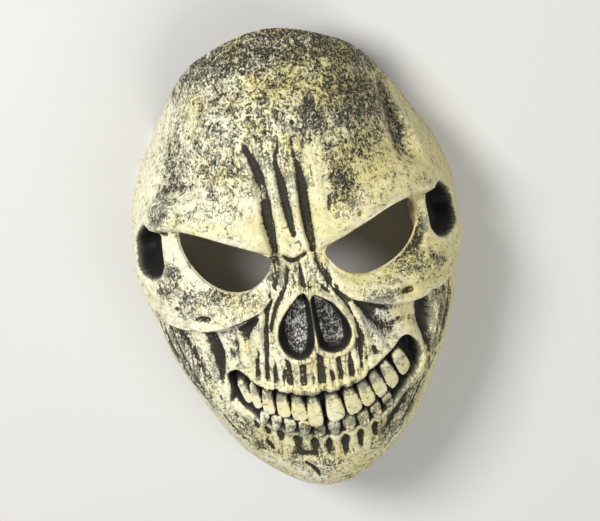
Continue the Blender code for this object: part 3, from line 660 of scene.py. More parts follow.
FINE_PITS = [
    Pit(-29.8, 14.8, 1.6, 1.1, -20.0, 1.6),
    Pit(28.4, 16.4, 1.8, 1.2, 24.0, 1.6),
    Pit(5.5, 57.0, 0.9, 0.9, 0.0, 0.9),
    Pit(66.0, 26.0, 1.1, 0.9, 0.0, 0.9),
    Pit(-66.0, 24.0, 1.2, 1.0, 0.0, 0.9),
    Pit(-20.0, 22.0, 0.8, 0.8, 0.0, 0.6),
    Pit(-57.0, -18.0, 1.0, 1.4, 20.0, 0.8),
    Pit(57.0, -16.0, 1.2, 1.0, -20.0, 0.8),
    Pit(33.0, -16.0, 1.1, 0.8, 10.0, 0.7),
]
print(len(ROOT_CUTS), "roots and", len(FINE_PITS), "fine pits")

# %% [markdown]
# ## The relief as one height
#
# Two functions add all marks up: one for the cast forms, which the solid has too, and one for the fine
# carving. Round the nose and the mouth, the fine carving also has a shallow line outside the raised rim,
# where the sculptor's tool went round it.

# %% Heights of the relief
OUTLINE_AWAY = 3.4
OUTLINE_WIDTH = 0.8
OUTLINE_REACH = 6.0
OUTLINE_DEPTH = 0.16  # as a part of the height of the rim


def pits_depth(across, up, pits):
    """Depth of the pits of a table."""
    depth = np.zeros(across.shape)
    for pit in pits:
        depth += pit.depth * np.exp(-oval(across, up, pit) ** 2 * PIT_FALL)
    return depth


def relief(across, up):
    """Height of the cast features above the smooth form, in millimetres."""
    height = np.zeros(across.shape)
    for swell in SWELLS:
        sideways = (across - swell.across) / swell.spread_across
        upwards = (up - swell.up) / swell.spread_up
        height += swell.height * np.exp(-sideways ** 2 - upwards ** 2)
    height += bands_height(across, up, BANDS)
    for hollow in HOLLOWS:
        side = np.abs(across) if hollow.mirrored else across
        inside = depth_inside(side, up, hollow.outline, RIM_REACH)
        sunk = (inside + EDGE_OUTSIDE * hollow.edge) / ((1.0 + EDGE_OUTSIDE) * hollow.edge)
        height -= hollow.depth * smooth_step(sunk)
        height += hollow.rim * np.exp(-((inside + RIM_AWAY) / RIM_WIDTH) ** 2)
    for outline in EYE_HOLES.values():
        inside = depth_inside(across, up, outline, LID_REACH)
        height -= LID_DROP * smooth_step((inside + LID_WIDTH) / LID_WIDTH)
    return height + teeth_height(across, up) - pits_depth(across, up, PITS)


def teeth_height(across, up):
    """Height of the teeth above the floor of the mouth."""
    teeth = np.zeros(across.shape)
    for tooth in TEETH:
        rise = smooth_step((1.0 + TOOTH_EDGE / 2 - oval(across, up, tooth, TOOTH_SQUARENESS)) / TOOTH_EDGE)
        teeth = np.maximum(teeth, tooth.height * rise)
    return teeth


def fine_relief(across, up):
    """Height of the fine carving, in millimetres."""
    height = bands_height(across, up, FINE_BANDS) - pits_depth(across, up, FINE_PITS)
    for hollow in HOLLOWS:
        if hollow.rim:
            inside = depth_inside(across, up, hollow.outline, OUTLINE_REACH)
            height -= OUTLINE_DEPTH * hollow.rim * np.exp(-((inside + OUTLINE_AWAY) / OUTLINE_WIDTH) ** 2)
    return height


brow_top = (np.array([-42.0]), np.array([23.5]))
print("the right brow stands", relief(*brow_top)[0].round(2), "mm above the smooth form")

# %% [markdown]
# ## A grid of the map
#
# Paint settles where the cast is low, and a brush dragged over it catches what is high. To know which is
# which, the relief is worked out on an even grid and compared with a blurred copy of itself. The inside of
# the shell comes from the same grid: the lowest relief nearby, smoothed, less the thickness of the skin.

# %% The grid and its blur
WALL = 1.9
GRID_STEP = 0.7
GRID_MARGIN = 6.0
GRID_HALF = math.ceil((MAP_RADIUS * math.pi / 2 + GRID_MARGIN) / GRID_STEP)
LAST_CELL = 2 * GRID_HALF - 1e-6
BLUR_PASSES = 4
LINING_REACH = 3.0
LINING_BLUR = 1.0


def grid_places():
    """Map places of every cell of the grid."""
    ticks = np.arange(-GRID_HALF, GRID_HALF + 1) * GRID_STEP
    return np.meshgrid(ticks, ticks, indexing="ij")


def blurred(grid, spread):
    """The grid with every cell averaged over its neighbours within about the spread in millimetres."""
    reach = max(1, round(spread / GRID_STEP / math.sqrt(BLUR_PASSES / 3)))
    for axis in (0, 1):
        for _ in range(BLUR_PASSES):
            padded = np.concatenate([np.take(grid, [0] * (reach + 1), axis), grid,
                                     np.take(grid, [-1] * reach, axis)], axis)
            total = np.cumsum(padded, axis)
            count = grid.shape[axis]
            upper = np.take(total, range(2 * reach + 1, 2 * reach + 1 + count), axis)
            lower = np.take(total, range(count), axis)
            grid = (upper - lower) / (2 * reach + 1)
    return grid


def lowest_near(grid, reach):
    """The grid with every cell at the lowest value within the reach in millimetres."""
    cells = round(reach / GRID_STEP)
    low = grid.copy()
    for i in range(-cells, cells + 1):
        for j in range(-cells, cells + 1):
            if i * i + j * j <= cells ** 2:
                low = np.minimum(low, np.roll(grid, (i, j), axis=(0, 1)))
    return low


def sample(grid, across, up):
    """Values of a grid at places on the map."""
    x = np.clip(across / GRID_STEP + GRID_HALF, 0, LAST_CELL)
    y = np.clip(up / GRID_STEP + GRID_HALF, 0, LAST_CELL)
    i = x.astype(int)
    j = y.astype(int)
    u = x - i
    v = y - j
    near_row = grid[i, j] * (1 - v) + grid[i, j + 1] * v
    far_row = grid[i + 1, j] * (1 - v) + grid[i + 1, j + 1] * v
    return near_row * (1 - u) + far_row * u


map_across, map_up = grid_places()
form_grid = relief(map_across, map_up)
skin_grid = form_grid + fine_relief(map_across, map_up)
lining_grid = blurred(lowest_near(form_grid, LINING_REACH), LINING_BLUR) - WALL
print("grid of", skin_grid.shape, "cells")
print("relief from", skin_grid.min().round(2), "to", skin_grid.max().round(2), "mm")

# %% [markdown]
# ## Where the paint lies
#
# The real mask is cream latex with a thin black wash, wiped back and then dry brushed. The relief tells
# where the wash settles, but not how hard each area was wiped. So patches are listed as on the real
# one, each a soft oval with a strength: grimy and bare skin, grey flecks, streaks, black paint, and skin
# wiped nearly clean.
# One of the grime patches is painted shadow, which darkens the crown.

# %% Patches of paint
Patch = namedtuple("Patch", "across up half_width half_length lean strength")
GRIME_AND_SHADOW_PATCHES = [
    Patch(0.0, 60.0, 70.0, 34.0, 0.0, 0.32),
    # Painted shadow: this patch darkens the crown as if it lay in shade.
    Patch(4.0, 87.0, 74.0, 13.0, 0.0, 0.46),
    Patch(60.0, 60.0, 10.0, 26.0, 0.0, 0.42),
    Patch(38.0, 66.0, 22.0, 20.0, 0.0, 0.46),
    Patch(23.6, 30.0, 9.0, 12.0, 10.0, 0.42),
    Patch(36.0, 47.0, 12.0, 7.0, 0.0, 0.38),
    Patch(-29.3, 39.5, 14.0, 12.0, 0.0, 0.30),
    Patch(14.1, 58.7, 7.0, 9.0, 0.0, 0.50),
    Patch(-50.0, 58.0, 11.0, 22.0, 20.0, 0.38),
    Patch(-62.0, 28.0, 9.0, 13.0, 0.0, 0.40),
    Patch(-51.4, -16.0, 6.0, 8.0, 0.0, 0.36),
    Patch(-58.0, 46.0, 11.0, 26.0, 0.0, 0.34),
    Patch(2.0, -52.6, 36.0, 2.2, 0.0, 0.46),
    Patch(-38.0, -15.0, 22.0, 7.0, 0.0, 0.34),
    Patch(-36.0, 24.0, 24.0, 7.0, -8.0, 0.28),
    Patch(40.0, 26.0, 28.0, 8.0, 12.0, 0.22),
    Patch(-63.0, -6.0, 8.0, 10.0, 0.0, 0.40),
    Patch(54.0, 0.0, 6.0, 11.0, 45.0, 0.62),
    Patch(54.0, -14.0, 16.0, 8.0, 20.0, 0.34),
    Patch(34.0, -19.0, 12.0, 5.0, 0.0, 0.34),
    Patch(-10.8, -2.0, 5.0, 9.0, 0.0, 0.46),
    Patch(0.0, -5.0, 14.0, 10.0, 0.0, 0.24),
    Patch(0.0, -45.0, 34.0, 10.0, 0.0, 0.14),
    Patch(0.0, -66.0, 30.0, 3.2, 0.0, 0.44),
    Patch(-5.0, -78.0, 14.0, 7.0, 0.0, 0.30),
    Patch(2.0, -27.0, 21.0, 19.0, 0.0, 0.12),
    Patch(-30.0, -73.0, 14.0, 8.0, 25.0, 0.30),
    Patch(32.0, -73.0, 16.0, 9.0, -25.0, 0.40),
    Patch(0.0, -94.0, 42.0, 16.0, 0.0, 0.18),
    Patch(-60.0, -50.0, 12.0, 26.0, -35.0, 0.46),
    Patch(62.0, -48.0, 10.0, 26.0, 35.0, 0.38),
]
BARE_PATCHES = [
    Patch(-34.0, 20.0, 26.0, 5.0, -8.0, 0.12),
    Patch(40.0, 25.0, 24.0, 5.0, 12.0, 0.06),
    Patch(-17.0, 18.0, 5.0, 14.0, 0.0, 0.20),
    Patch(13.0, 30.0, 4.5, 20.0, 0.0, 0.22),
    Patch(-36.0, -20.0, 20.0, 4.0, 0.0, 0.10),
    Patch(42.0, -20.0, 24.0, 3.5, 0.0, 0.10),
    Patch(-44.0, 64.0, 6.0, 12.0, 20.0, 0.16),
    Patch(2.0, -58.0, 36.0, 3.5, 0.0, 0.06),
]
GRANITE_PATCHES = [
    Patch(-39.0, -38.0, 9.0, 12.0, -15.0, 0.34),
    Patch(-28.0, -26.5, 9.0, 6.0, -20.0, 0.62),
    Patch(30.0, -31.0, 9.0, 12.0, 0.0, 0.60),
    Patch(54.5, -38.0, 5.0, 12.0, 20.0, 0.62),
    Patch(40.0, -33.0, 9.0, 6.0, 0.0, 0.20),
    Patch(36.0, -42.0, 7.0, 5.0, 0.0, 0.36),
]
STREAK_PATCHES = [
    Patch(0.0, -40.0, 32.0, 18.0, 0.0, 0.9),
    Patch(0.0, -8.0, 16.0, 14.0, 0.0, 0.8),
    Patch(0.0, 34.0, 18.0, 24.0, 0.0, 0.5),
    Patch(-62.0, -48.0, 14.0, 28.0, -35.0, 0.7),
    Patch(62.0, -48.0, 14.0, 28.0, 35.0, 0.7),
    Patch(0.0, -73.0, 30.0, 7.0, 0.0, 0.7),
]
BLACK_PATCHES = [
    Patch(-38.4, -53.6, 1.0, 3.6, -8.0, 1.0),
    Patch(-36.0, -60.0, 1.0, 2.6, 38.0, 1.0),
]
WIPED_PATCHES = [
    Patch(-40.0, 31.0, 32.0, 8.0, -6.0, 0.9),
    Patch(42.0, 36.0, 32.0, 8.0, 12.0, 0.9),
    Patch(64.0, 58.0, 10.0, 30.0, 0.0, 0.6),
    Patch(-36.0, -36.0, 13.0, 9.0, 25.0, 0.5),
    Patch(40.0, -36.0, 15.0, 9.0, -15.0, 0.55),
]
PATCH_EDGE = 1.5


def patched(across, up, patches):
    """Strength of a list of soft oval patches at places on the map."""
    strength = np.zeros(across.shape)
    for patch in patches:
        strength = np.maximum(strength, patch.strength * smooth_step(PATCH_EDGE - oval(across, up, patch)))
    return strength


grime_and_shadow_share = (patched(map_across, map_up, GRIME_AND_SHADOW_PATCHES) > 0).mean()
print("part of the map with grimy skin:", round(float(grime_and_shadow_share), 2))

# %% [markdown]
# ## Paint masks
#
# A mask is a number from 0 to 1 at every point of the skin, and the material turns it into paint. The wash
# follows narrow cuts and the shade follows broad hollows, by how far a point lies below the blurred relief.
# The ridge mask is for what stands above it. The two lobes of the nose are granite-flecked inside a black
# edge.

# %% Masks for the painter
FLOOR_REACH = 3.0 * RIM_WIDTH
TOOTH_CLEAR = 2.0  # the black thins out from this height of a tooth up to twice it
LID_PAINT = 1.4  # in widths of a lid
CUT_SPREAD = 1.6
CUT_DEPTH = 0.65
SHADE_SPREAD = 4.5
SHADE_DEPTH = 2.6
LID_WIPED = 0.8
GRIME_ALL_OVER = 0.12
GRIME_IN_LOBES = 0.16
BLACK_FLOORS = ("temple_hollow", "mouth")
BLACK_MARGIN = 0.6
LOBES = ("nose_lobe_right", "nose_lobe_left")
LOBE_MARGIN = 1.1
LOBE_MIDDLE_MARGIN = -0.9
LOBE_DROP = 1.3


def floor_of(across, up, names, margin):
    """1 within a margin of the named hollows and 0 outside it, with the teeth left out."""
    painted = np.zeros(across.shape)
    for hollow in HOLLOWS:
        if hollow.name not in names:
            continue
        side = np.abs(across) if hollow.mirrored else across
        inside = depth_inside(side, up, hollow.outline, FLOOR_REACH)
        floor = smooth_step(inside + margin)
        if hollow.name == "mouth":
            floor = floor * (1.0 - smooth_step(teeth_height(across, up) / TOOTH_CLEAR - 1.0))
        painted = np.maximum(painted, floor)
    return painted


def eyelids(across, up):
    """1 at the edge of the eye holes, falling to 0 a lid's width away."""
    lids = np.zeros(across.shape)
    for outline in EYE_HOLES.values():
        inside = depth_inside(across, up, outline, LID_REACH)
        lids = np.maximum(lids, smooth_step((inside + LID_PAINT * LID_WIDTH) / LID_WIDTH))
    return lids


near_level = blurred(skin_grid, CUT_SPREAD)
broad_level = blurred(skin_grid, SHADE_SPREAD)


def paint_masks(across, up, height):
    """Paint masks, each 0 to 1, for places on the map whose relief has the given height."""
    cut = (sample(near_level, across, up) - height) / CUT_DEPTH
    broad = (sample(broad_level, across, up) - height) / SHADE_DEPTH
    unwiped = (1.0 - LID_WIPED * eyelids(across, up)) * (1.0 - patched(across, up, WIPED_PATCHES))
    # Grime, and on the crown painted shadow.
    grime_and_shadow = patched(across, up, GRIME_AND_SHADOW_PATCHES) - patched(across, up, BARE_PATCHES) + GRIME_ALL_OVER
    black = floor_of(across, up, BLACK_FLOORS, BLACK_MARGIN)
    black = np.maximum(black, patched(across, up, BLACK_PATCHES))
    lobes = floor_of(across, up, LOBES, LOBE_MARGIN)
    lobe_middles = floor_of(across, up + LOBE_DROP, LOBES, LOBE_MIDDLE_MARGIN)
    return {
        "wash": np.clip(cut, 0, 1) * unwiped * (1.0 - lobes),
        "shade": np.clip(broad, 0, 1) * unwiped * (1.0 - lobes),
        "ridge": np.clip(-cut, 0, 1) * (1.0 - lobes),
        "grime_and_shadow": np.clip(grime_and_shadow, 0, 1) * (1.0 - lobes) + GRIME_IN_LOBES * lobes,
        "granite": np.maximum(lobe_middles, patched(across, up, GRANITE_PATCHES)),
        "streaks": patched(across, up, STREAK_PATCHES) * (1.0 - lobes),
        "deep": np.maximum(black, lobes - lobe_middles),
    }


nose_middle = (np.array([8.0]), np.array([-28.0]))
nose_masks = paint_masks(*nose_middle, relief(*nose_middle))
print("inside the nose:", {name: float(values[0].round(2)) for name, values in nose_masks.items()})

# %% [markdown]
# ## The edges of the latex
#
# On the flat map, the trimmed rim and the two eye holes are plain closed loops. The rim lies where the
# smooth form has come down to a set height, which is found by halving the angle again and again.

# %% Rim and eye hole loops
RIM_SPACING = 1.3
EYE_SPACING = 0.8
LOOP_STEPS = 12
LEAST_TURN = 0.5
HALVINGS = 40


def rim_outline():
    """Rim of the shell on the map, where the smooth form is down to the height of the rim."""
    count = round(2 * math.pi * MAP_RADIUS * math.pi / 2 / RIM_SPACING)
    clock = np.arange(count) * 2 * math.pi / count
    rim_height = form_value(np.degrees(clock), "rim_height")
    low = np.full(count, LEAST_TURN)
    high = np.full(count, math.pi / 2)
    for _ in range(HALVINGS):
        turn = (low + high) / 2
        across = MAP_RADIUS * turn * np.cos(clock)
        up = MAP_RADIUS * turn * np.sin(clock)
        above = smooth_radius(across, up) * np.cos(turn) > rim_height
        low = np.where(above, turn, low)
        high = np.where(above, high, turn)
    reach = MAP_RADIUS * high
    return np.stack([reach * np.cos(clock), reach * np.sin(clock)], axis=-1)


def spaced(outline, spacing):
    """Points of a closed outline at an even spacing."""
    path = smooth_rows(outline, True, LOOP_STEPS)
    path = np.vstack([path, path[:1]])
    run = np.concatenate([[0.0], np.cumsum(np.hypot(*np.diff(path, axis=0).T))])
    count = round(run[-1] / spacing)
    marks = np.arange(count) * run[-1] / count
    return np.stack([np.interp(marks, run, path[:, 0]), np.interp(marks, run, path[:, 1])], axis=-1)


loops = [rim_outline()] + [spaced(outline, EYE_SPACING) for outline in EYE_HOLES.values()]
print("points on the rim and the eye holes:", [len(loop) for loop in loops])

# %% [markdown]
# ## Triangles on the flat map
#
# The nose, mouth and cheeks have the finest carving, so they get a point about every half millimetre, and
# the rest of the outside one every millimetre. The inside is smooth and gets by with far fewer. A
# triangulation joins the points and keeps the loops as edges.

# %% Triangles between the loops
OUTER_SPACING = 1.0
FINE_SPACING = 0.54
INNER_SPACING = 2.6
FINE_MIDDLE = Patch(2.0, -32.0, 47.0, 54.0, 0.0, 1.0)
ROW_RISE = math.sqrt(0.75)  # rows of equal-sided triangles are this far apart
CLEAR_OF_LOOP = 0.45
CLEAR_OF_COARSE = 0.5
MERGE_DISTANCE = 1e-6


def even_points(spacing, reach):
    """Points at an even spacing in rows that are shifted by half a step."""
    rows = []
    for k, row in enumerate(np.arange(-reach, reach, spacing * ROW_RISE)):
        line = np.arange(-reach, reach, spacing) + (k % 2) * spacing / 2
        rows.append(np.stack([line, np.full(line.shape, row)], axis=-1))
    return np.vstack(rows)


def within(points, gap):
    """True for the points that are inside the rim and outside the eye holes by more than a gap."""
    kept = depth_in_loop(*points.T, loops[0]) > gap
    for loop in loops[1:]:
        kept &= depth_in_loop(*points.T, loop) < -gap
    return kept


def mesh_map(spacing, fine_spacing=None):
    """Triangles between the rim and the eye holes, as map points and corner numbers.

    With a fine spacing, the middle of the face gets closer points than the rest.
    """
    reach = np.abs(loops[0]).max() + spacing
    grid = even_points(spacing, reach)
    if fine_spacing:
        close = even_points(fine_spacing, reach)
        grid = grid[oval(*grid.T, FINE_MIDDLE) > 1.0]
        gap = CLEAR_OF_COARSE * spacing / FINE_MIDDLE.half_width
        close = close[oval(*close.T, FINE_MIDDLE) < 1.0 - gap]
        grid = np.vstack([grid, close])
    points = np.vstack(loops + [grid[within(grid, CLEAR_OF_LOOP * spacing)]])
    edges = []
    first = 0
    for loop in loops:
        count = len(loop)
        edges += [(first + k, first + (k + 1) % count) for k in range(count)]
        first += count
    result = delaunay_2d_cdt([Vector(p) for p in points], edges, [], 0, MERGE_DISTANCE, False)
    corners = np.array([face for face in result[2] if len(face) == 3])
    corners = corners[within(points[corners].mean(axis=1), 0.0)]
    one, two, three = (points[corners[:, k]] for k in range(3))
    area = (two - one)[:, 0] * (three - one)[:, 1] - (two - one)[:, 1] * (three - one)[:, 0]
    corners[area < 0] = corners[area < 0][:, ::-1]
    return points, corners


outer, outer_faces = mesh_map(OUTER_SPACING, FINE_SPACING)
inner, inner_faces = mesh_map(INNER_SPACING)
print("triangles outside and inside:", len(outer_faces), len(inner_faces))

# %% [markdown]
# ## The skin as one mesh
#
# Both layers are lifted from the map into place, the outside by its relief and the inside by the lining
# grid. They share the points of the loops, so strips between them close the cut edges of the latex. A mask
# could be painted by hand, but here each one is stored as an attribute of the mesh's points, which a
# material can read by name. The first material slot is the painted outside with the cut edges of the eye
# holes, the second the bare inside with the rim.

# %% The latex skin
def cut_edges(shift):
    """Four-cornered faces that join the outside and the inside along every loop."""
    faces = []
    first = 0
    for number, loop in enumerate(loops):
        count = len(loop)
        x, y = loop.T
        turns_left = (x * np.roll(y, -1) - np.roll(x, -1) * y).sum() > 0
        for k in range(count):
            this = first + k
            following = first + (k + 1) % count
            wall = [following, this, this + shift, following + shift]
            faces.append(wall if turns_left == (number == 0) else wall[::-1])
        first += count
    return faces


def make_skin():
    """The whole latex skin: outside, inside and cut edges, with the paint masks on its points."""
    outer_height = relief(*outer.T) + fine_relief(*outer.T)
    outside = place(*outer.T, outer_height)
    inside = place(*inner.T, sample(lining_grid, *inner.T))
    shift = len(outside)
    faces = outer_faces.tolist() + (inner_faces[:, ::-1] + shift).tolist() + cut_edges(shift)
    mesh = bpy.data.meshes.new("latex_skin")
    mesh.from_pydata(np.vstack([outside, inside]).tolist(), [], faces)
    mesh.update()
    slots = np.ones(len(mesh.polygons), np.int32)
    slots[:len(outer_faces)] = 0
    eye_edges = len(outer_faces) + len(inner_faces) + len(loops[0])
    slots[eye_edges:] = 0
    mesh.polygons.foreach_set("material_index", slots)
    mesh.shade_smooth()
    for name, mask_values in paint_masks(*outer.T, outer_height).items():
        values = np.zeros(len(mesh.vertices), np.float32)
        values[:shift] = mask_values
        mesh.attributes.new(name, "FLOAT", "POINT").data.foreach_set("value", values)
    skin = bpy.data.objects.new("latex_skin", mesh)
    bpy.context.scene.collection.objects.link(skin)
    return skin


skin = make_skin()
print("skin:", len(skin.data.vertices), "points,", len(skin.data.polygons), "faces")

# %% [markdown]
# ## The cut edges stay sharp
#
# Latex is trimmed with scissors, so the edge of an eye hole is square. Marking those edges as sharp keeps
# the shading crisp there while the rest of the skin stays smooth.

# %% Sharp edges
SHARP_TURN = math.radians(55.0)
skin.data.set_sharp_from_angle(angle=SHARP_TURN)
print("sharp edges:", sum(edge.use_edge_sharp for edge in skin.data.edges))

# %% [markdown]
# ## The elastic
#
# The mask is worn with a flat woven elastic. Here it lies in a loose loop under the shell, standing on its
# edge, with both ends flat against the temples. It is a strip with slightly rounded edges, swept along one
# curve. Its path is given by the clock angle round the rim, the distance from the wall and the height of
# its lower edge.

# %% The elastic strip
BAND_WIDTH = 10.0
BAND_THICKNESS = 1.2
BAND_STEPS = 16
Lay = namedtuple("Lay", "clock off_wall lower_edge")
ELASTIC_PATH = [
    Lay(14.0, 0.9, 6.0),
    Lay(6.0, 0.9, 5.6),
    Lay(-4.0, 1.6, 4.4),
    Lay(-18.0, 5.0, 1.6),
    Lay(-34.0, 9.0, 0.4),
    Lay(-52.0, 14.0, 0.4),
    Lay(-70.0, 24.0, 0.4),
    Lay(-90.0, 32.0, 0.4),
    Lay(-110.0, 25.0, 0.4),
    Lay(-128.0, 15.0, 0.4),
    Lay(-146.0, 9.0, 0.4),
    Lay(-162.0, 5.0, 1.6),
    Lay(-176.0, 1.6, 4.4),
    Lay(-186.0, 0.9, 5.6),
    Lay(-194.0, 0.9, 6.0),
]
# Rounded section of the strip: (part of the half thickness, part of the width up from the lower edge).
BAND_SECTION = [
    (-0.5, 0.0), (0.5, 0.0), (1.0, 0.04), (1.0, 0.5), (1.0, 0.96),
    (0.5, 1.0), (-0.5, 1.0), (-1.0, 0.96), (-1.0, 0.5), (-1.0, 0.04),
]


def make_elastic():
    """The flat elastic, standing on edge round the inside of the rim."""
    clock, off_wall, lower_edge = smooth_rows([tuple(row) for row in ELASTIC_PATH], False, BAND_STEPS).T
    clock = np.radians(clock)
    turn = math.pi / 2 - (lower_edge + BAND_WIDTH) / smooth_radius(np.cos(clock), np.sin(clock))
    across = MAP_RADIUS * turn * np.cos(clock)
    up = MAP_RADIUS * turn * np.sin(clock)
    reach = (smooth_radius(across, up) + sample(lining_grid, across, up)) * np.sin(turn) - off_wall
    path = np.stack([reach * np.cos(clock), reach * np.sin(clock) + BRIDGE_ALONG], axis=-1)
    run = np.gradient(path, axis=0)
    run /= np.hypot(run[:, 0], run[:, 1])[:, None]
    outwards = np.stack([-run[:, 1], run[:, 0]], axis=-1) * BAND_THICKNESS / 2
    vertices = []
    for middle, half, bottom in zip(path, outwards, lower_edge):
        for side, rise in BAND_SECTION:
            vertices.append((*(middle + half * side), bottom + rise * BAND_WIDTH))
    corners = len(BAND_SECTION)
    faces = [tuple(reversed(range(corners)))]
    for ring in range(len(path) - 1):
        for side in range(corners):
            here = corners * ring + side
            beside = corners * ring + (side + 1) % corners
            faces.append((here, beside, beside + corners, here + corners))
    faces.append(tuple(corners * (len(path) - 1) + side for side in range(corners)))
    mesh = bpy.data.meshes.new("woven_band")
    mesh.from_pydata((np.array(vertices) * MM).tolist(), [], faces)
    mesh.update()
    mesh.shade_smooth()
    lengths = np.concatenate([[0.0], np.cumsum(np.hypot(*np.diff(path, axis=0).T))])
    lengthways = np.repeat(lengths, corners).astype(np.float32)
    mesh.attributes.new("along_band", "FLOAT", "POINT").data.foreach_set("value", lengthways)
    band = bpy.data.objects.new("woven_band", mesh)
    bpy.context.scene.collection.objects.link(band)
    return band


band = make_elastic()
band.data.set_sharp_from_angle(angle=SHARP_TURN)
print("elastic:", len(band.data.polygons), "faces")

# %% [markdown]
# ## Helpers for materials
#
# Every finish here is a small tree of nodes. These helpers keep the trees short to read: one adds a node
# and fills its sockets, the others do sums, remap a value and mix two colours.

# %% Small helpers for node trees
def add_node(tree, kind, sockets=None, **settings):
    """A new node with its settings, and its sockets filled with values or links."""
    made = tree.nodes.new(kind)
    for name, value in settings.items():
        setattr(made, name, value)
    for key, value in (sockets or {}).items():
        if isinstance(value, bpy.types.NodeSocket):
            tree.links.new(value, made.inputs[key])
        else:
            made.inputs[key].default_value = value
    return made


def calc(tree, operation, *values):
    """Output of a maths node."""
    return add_node(tree, "ShaderNodeMath", dict(enumerate(values)), operation=operation).outputs[0]


def remap(tree, value, low, high, to_low=0.0, to_high=1.0):
    """A value moved smoothly from one range to another."""
    sockets = {"Value": value, "From Min": low, "From Max": high, "To Min": to_low, "To Max": to_high}
    return add_node(tree, "ShaderNodeMapRange", sockets, interpolation_type="SMOOTHSTEP").outputs["Result"]


def mix_colour(tree, share, first, second):
    """Mix of two colours, each a socket or a colour."""
    sockets = {0: share, 6: first, 7: second}
    return add_node(tree, "ShaderNodeMix", sockets, data_type="RGBA").outputs[2]


def noise(tree, places, scale, detail=2.0, roughness=0.5, distortion=0.0):
    """Value of a noise texture."""
    sockets = {"Vector": places, "Scale": scale, "Detail": detail, "Roughness": roughness}
    sockets["Distortion"] = distortion
    return add_node(tree, "ShaderNodeTexNoise", sockets).outputs["Fac"]


def stored(tree, name):
    """Value that the mesh stores for each of its points, such as a paint mask."""
    return add_node(tree, "ShaderNodeAttribute", attribute_name=name).outputs["Fac"]


def linear(red, green, blue):
    """Colour for a shader from the 0 to 255 values that a picture shows."""
    tones = [value / 255 for value in (red, green, blue)]
    return (*[t / 12.92 if t <= 0.04045 else ((t + 0.055) / 1.055) ** 2.4 for t in tones], 1.0)


def places_in_mm(tree, stretch=(1.0, 1.0, 1.0)):
    """Places on the object in millimetres, stretched along each axis."""
    where = add_node(tree, "ShaderNodeTexCoord").outputs["Object"]
    sockets = {"Vector": where, "Scale": tuple(1000.0 / s for s in stretch)}
    return add_node(tree, "ShaderNodeMapping", sockets).outputs["Vector"]


def new_material(name):
    """A plain new material, its node tree and its surface shader."""
    made = bpy.data.materials.new(name)
    made.use_nodes = True
    return made, made.node_tree, made.node_tree.nodes["Principled BSDF"]


print("mid grey for a shader:", [round(tone, 3) for tone in linear(128, 128, 128)])

# %% [markdown]
# ## The grain that both sides of the latex share
#
# Cast latex has a faint pebbled skin from the mould, with softer lumps under it. Both sides of the mask
# have it, so it is a node group: given places and a depth, it puts out a tone and a normal.

# %% Grain of cast latex
LUMP_STRENGTH = 0.8
GRAIN_INPUTS = {"Places": "NodeSocketVector", "Depth": "NodeSocketFloat", "Normal": "NodeSocketVector"}
GRAIN_OUTPUTS = {"Tone": "NodeSocketFloat", "Normal": "NodeSocketVector"}


def make_grain_group():
    """Node group for the pebbled skin of cast latex."""
    tree = bpy.data.node_groups.new("latex_grain", "ShaderNodeTree")
    for name, kind in GRAIN_INPUTS.items():
        tree.interface.new_socket(name, in_out="INPUT", socket_type=kind)
    for name, kind in GRAIN_OUTPUTS.items():
        tree.interface.new_socket(name, in_out="OUTPUT", socket_type=kind)
    given = tree.nodes.new("NodeGroupInput")
    pebbles = noise(tree, given.outputs["Places"], scale=1.1, detail=4.0, roughness=0.6)
    lumps = noise(tree, given.outputs["Places"], scale=0.22, detail=3.0, roughness=0.55)
    surface = calc(tree, "MULTIPLY_ADD", lumps, LUMP_STRENGTH, pebbles)
    sockets = {"Height": surface, "Distance": given.outputs["Depth"], "Strength": 1.0,
               "Normal": given.outputs["Normal"]}
    bumped = add_node(tree, "ShaderNodeBump", sockets).outputs["Normal"]
    put_out = tree.nodes.new("NodeGroupOutput")
    tree.links.new(surface, put_out.inputs["Tone"])
    tree.links.new(bumped, put_out.inputs["Normal"])
    return tree


grain_group = make_grain_group()
print("group:", grain_group.name)

# %% [markdown]
# ## The bone colour
#
# The first coat is bone. It is whiter on one side of the face and yellower on the other, with slow noise
# added so that no line shows between them. Tan smudges are left where the paint was rubbed thin. Where the
# nose and cheeks are flecked like granite, the ground is a cooler white.

# %% Bone paint
BONE_CREAM = linear(246, 243, 214)
BONE_YELLOW = linear(228, 217, 150)
THIN_TAN = linear(178, 168, 124)
GRANITE_WHITE = linear(240, 238, 228)
SIDE_DRIFT = 0.003  # yellower by this much for each millimetre across
YELLOW_RANGE = (0.3, 0.68)
TAN_RANGE = (0.42, 0.7)
MOST_TAN = 0.75


def bone_colour(tree, where):
    """Cream to yellow bone with tan smudges, and a cooler white under the granite flecks."""
    side = add_node(tree, "ShaderNodeSeparateXYZ", {"Vector": where}).outputs["X"]
    slow = noise(tree, where, scale=0.05, detail=3.0, roughness=0.6)
    drift = calc(tree, "MULTIPLY_ADD", side, SIDE_DRIFT, slow)
    bone = mix_colour(tree, remap(tree, drift, *YELLOW_RANGE), BONE_CREAM, BONE_YELLOW)
    smudges = noise(tree, where, scale=0.3, detail=5.0, roughness=0.7, distortion=0.6)
    bone = mix_colour(tree, remap(tree, smudges, *TAN_RANGE, to_high=MOST_TAN), bone, THIN_TAN)
    return mix_colour(tree, stored(tree, "granite"), bone, GRANITE_WHITE)


print("bone from", [round(tone, 2) for tone in BONE_CREAM], "to", [round(tone, 2) for tone in BONE_YELLOW])
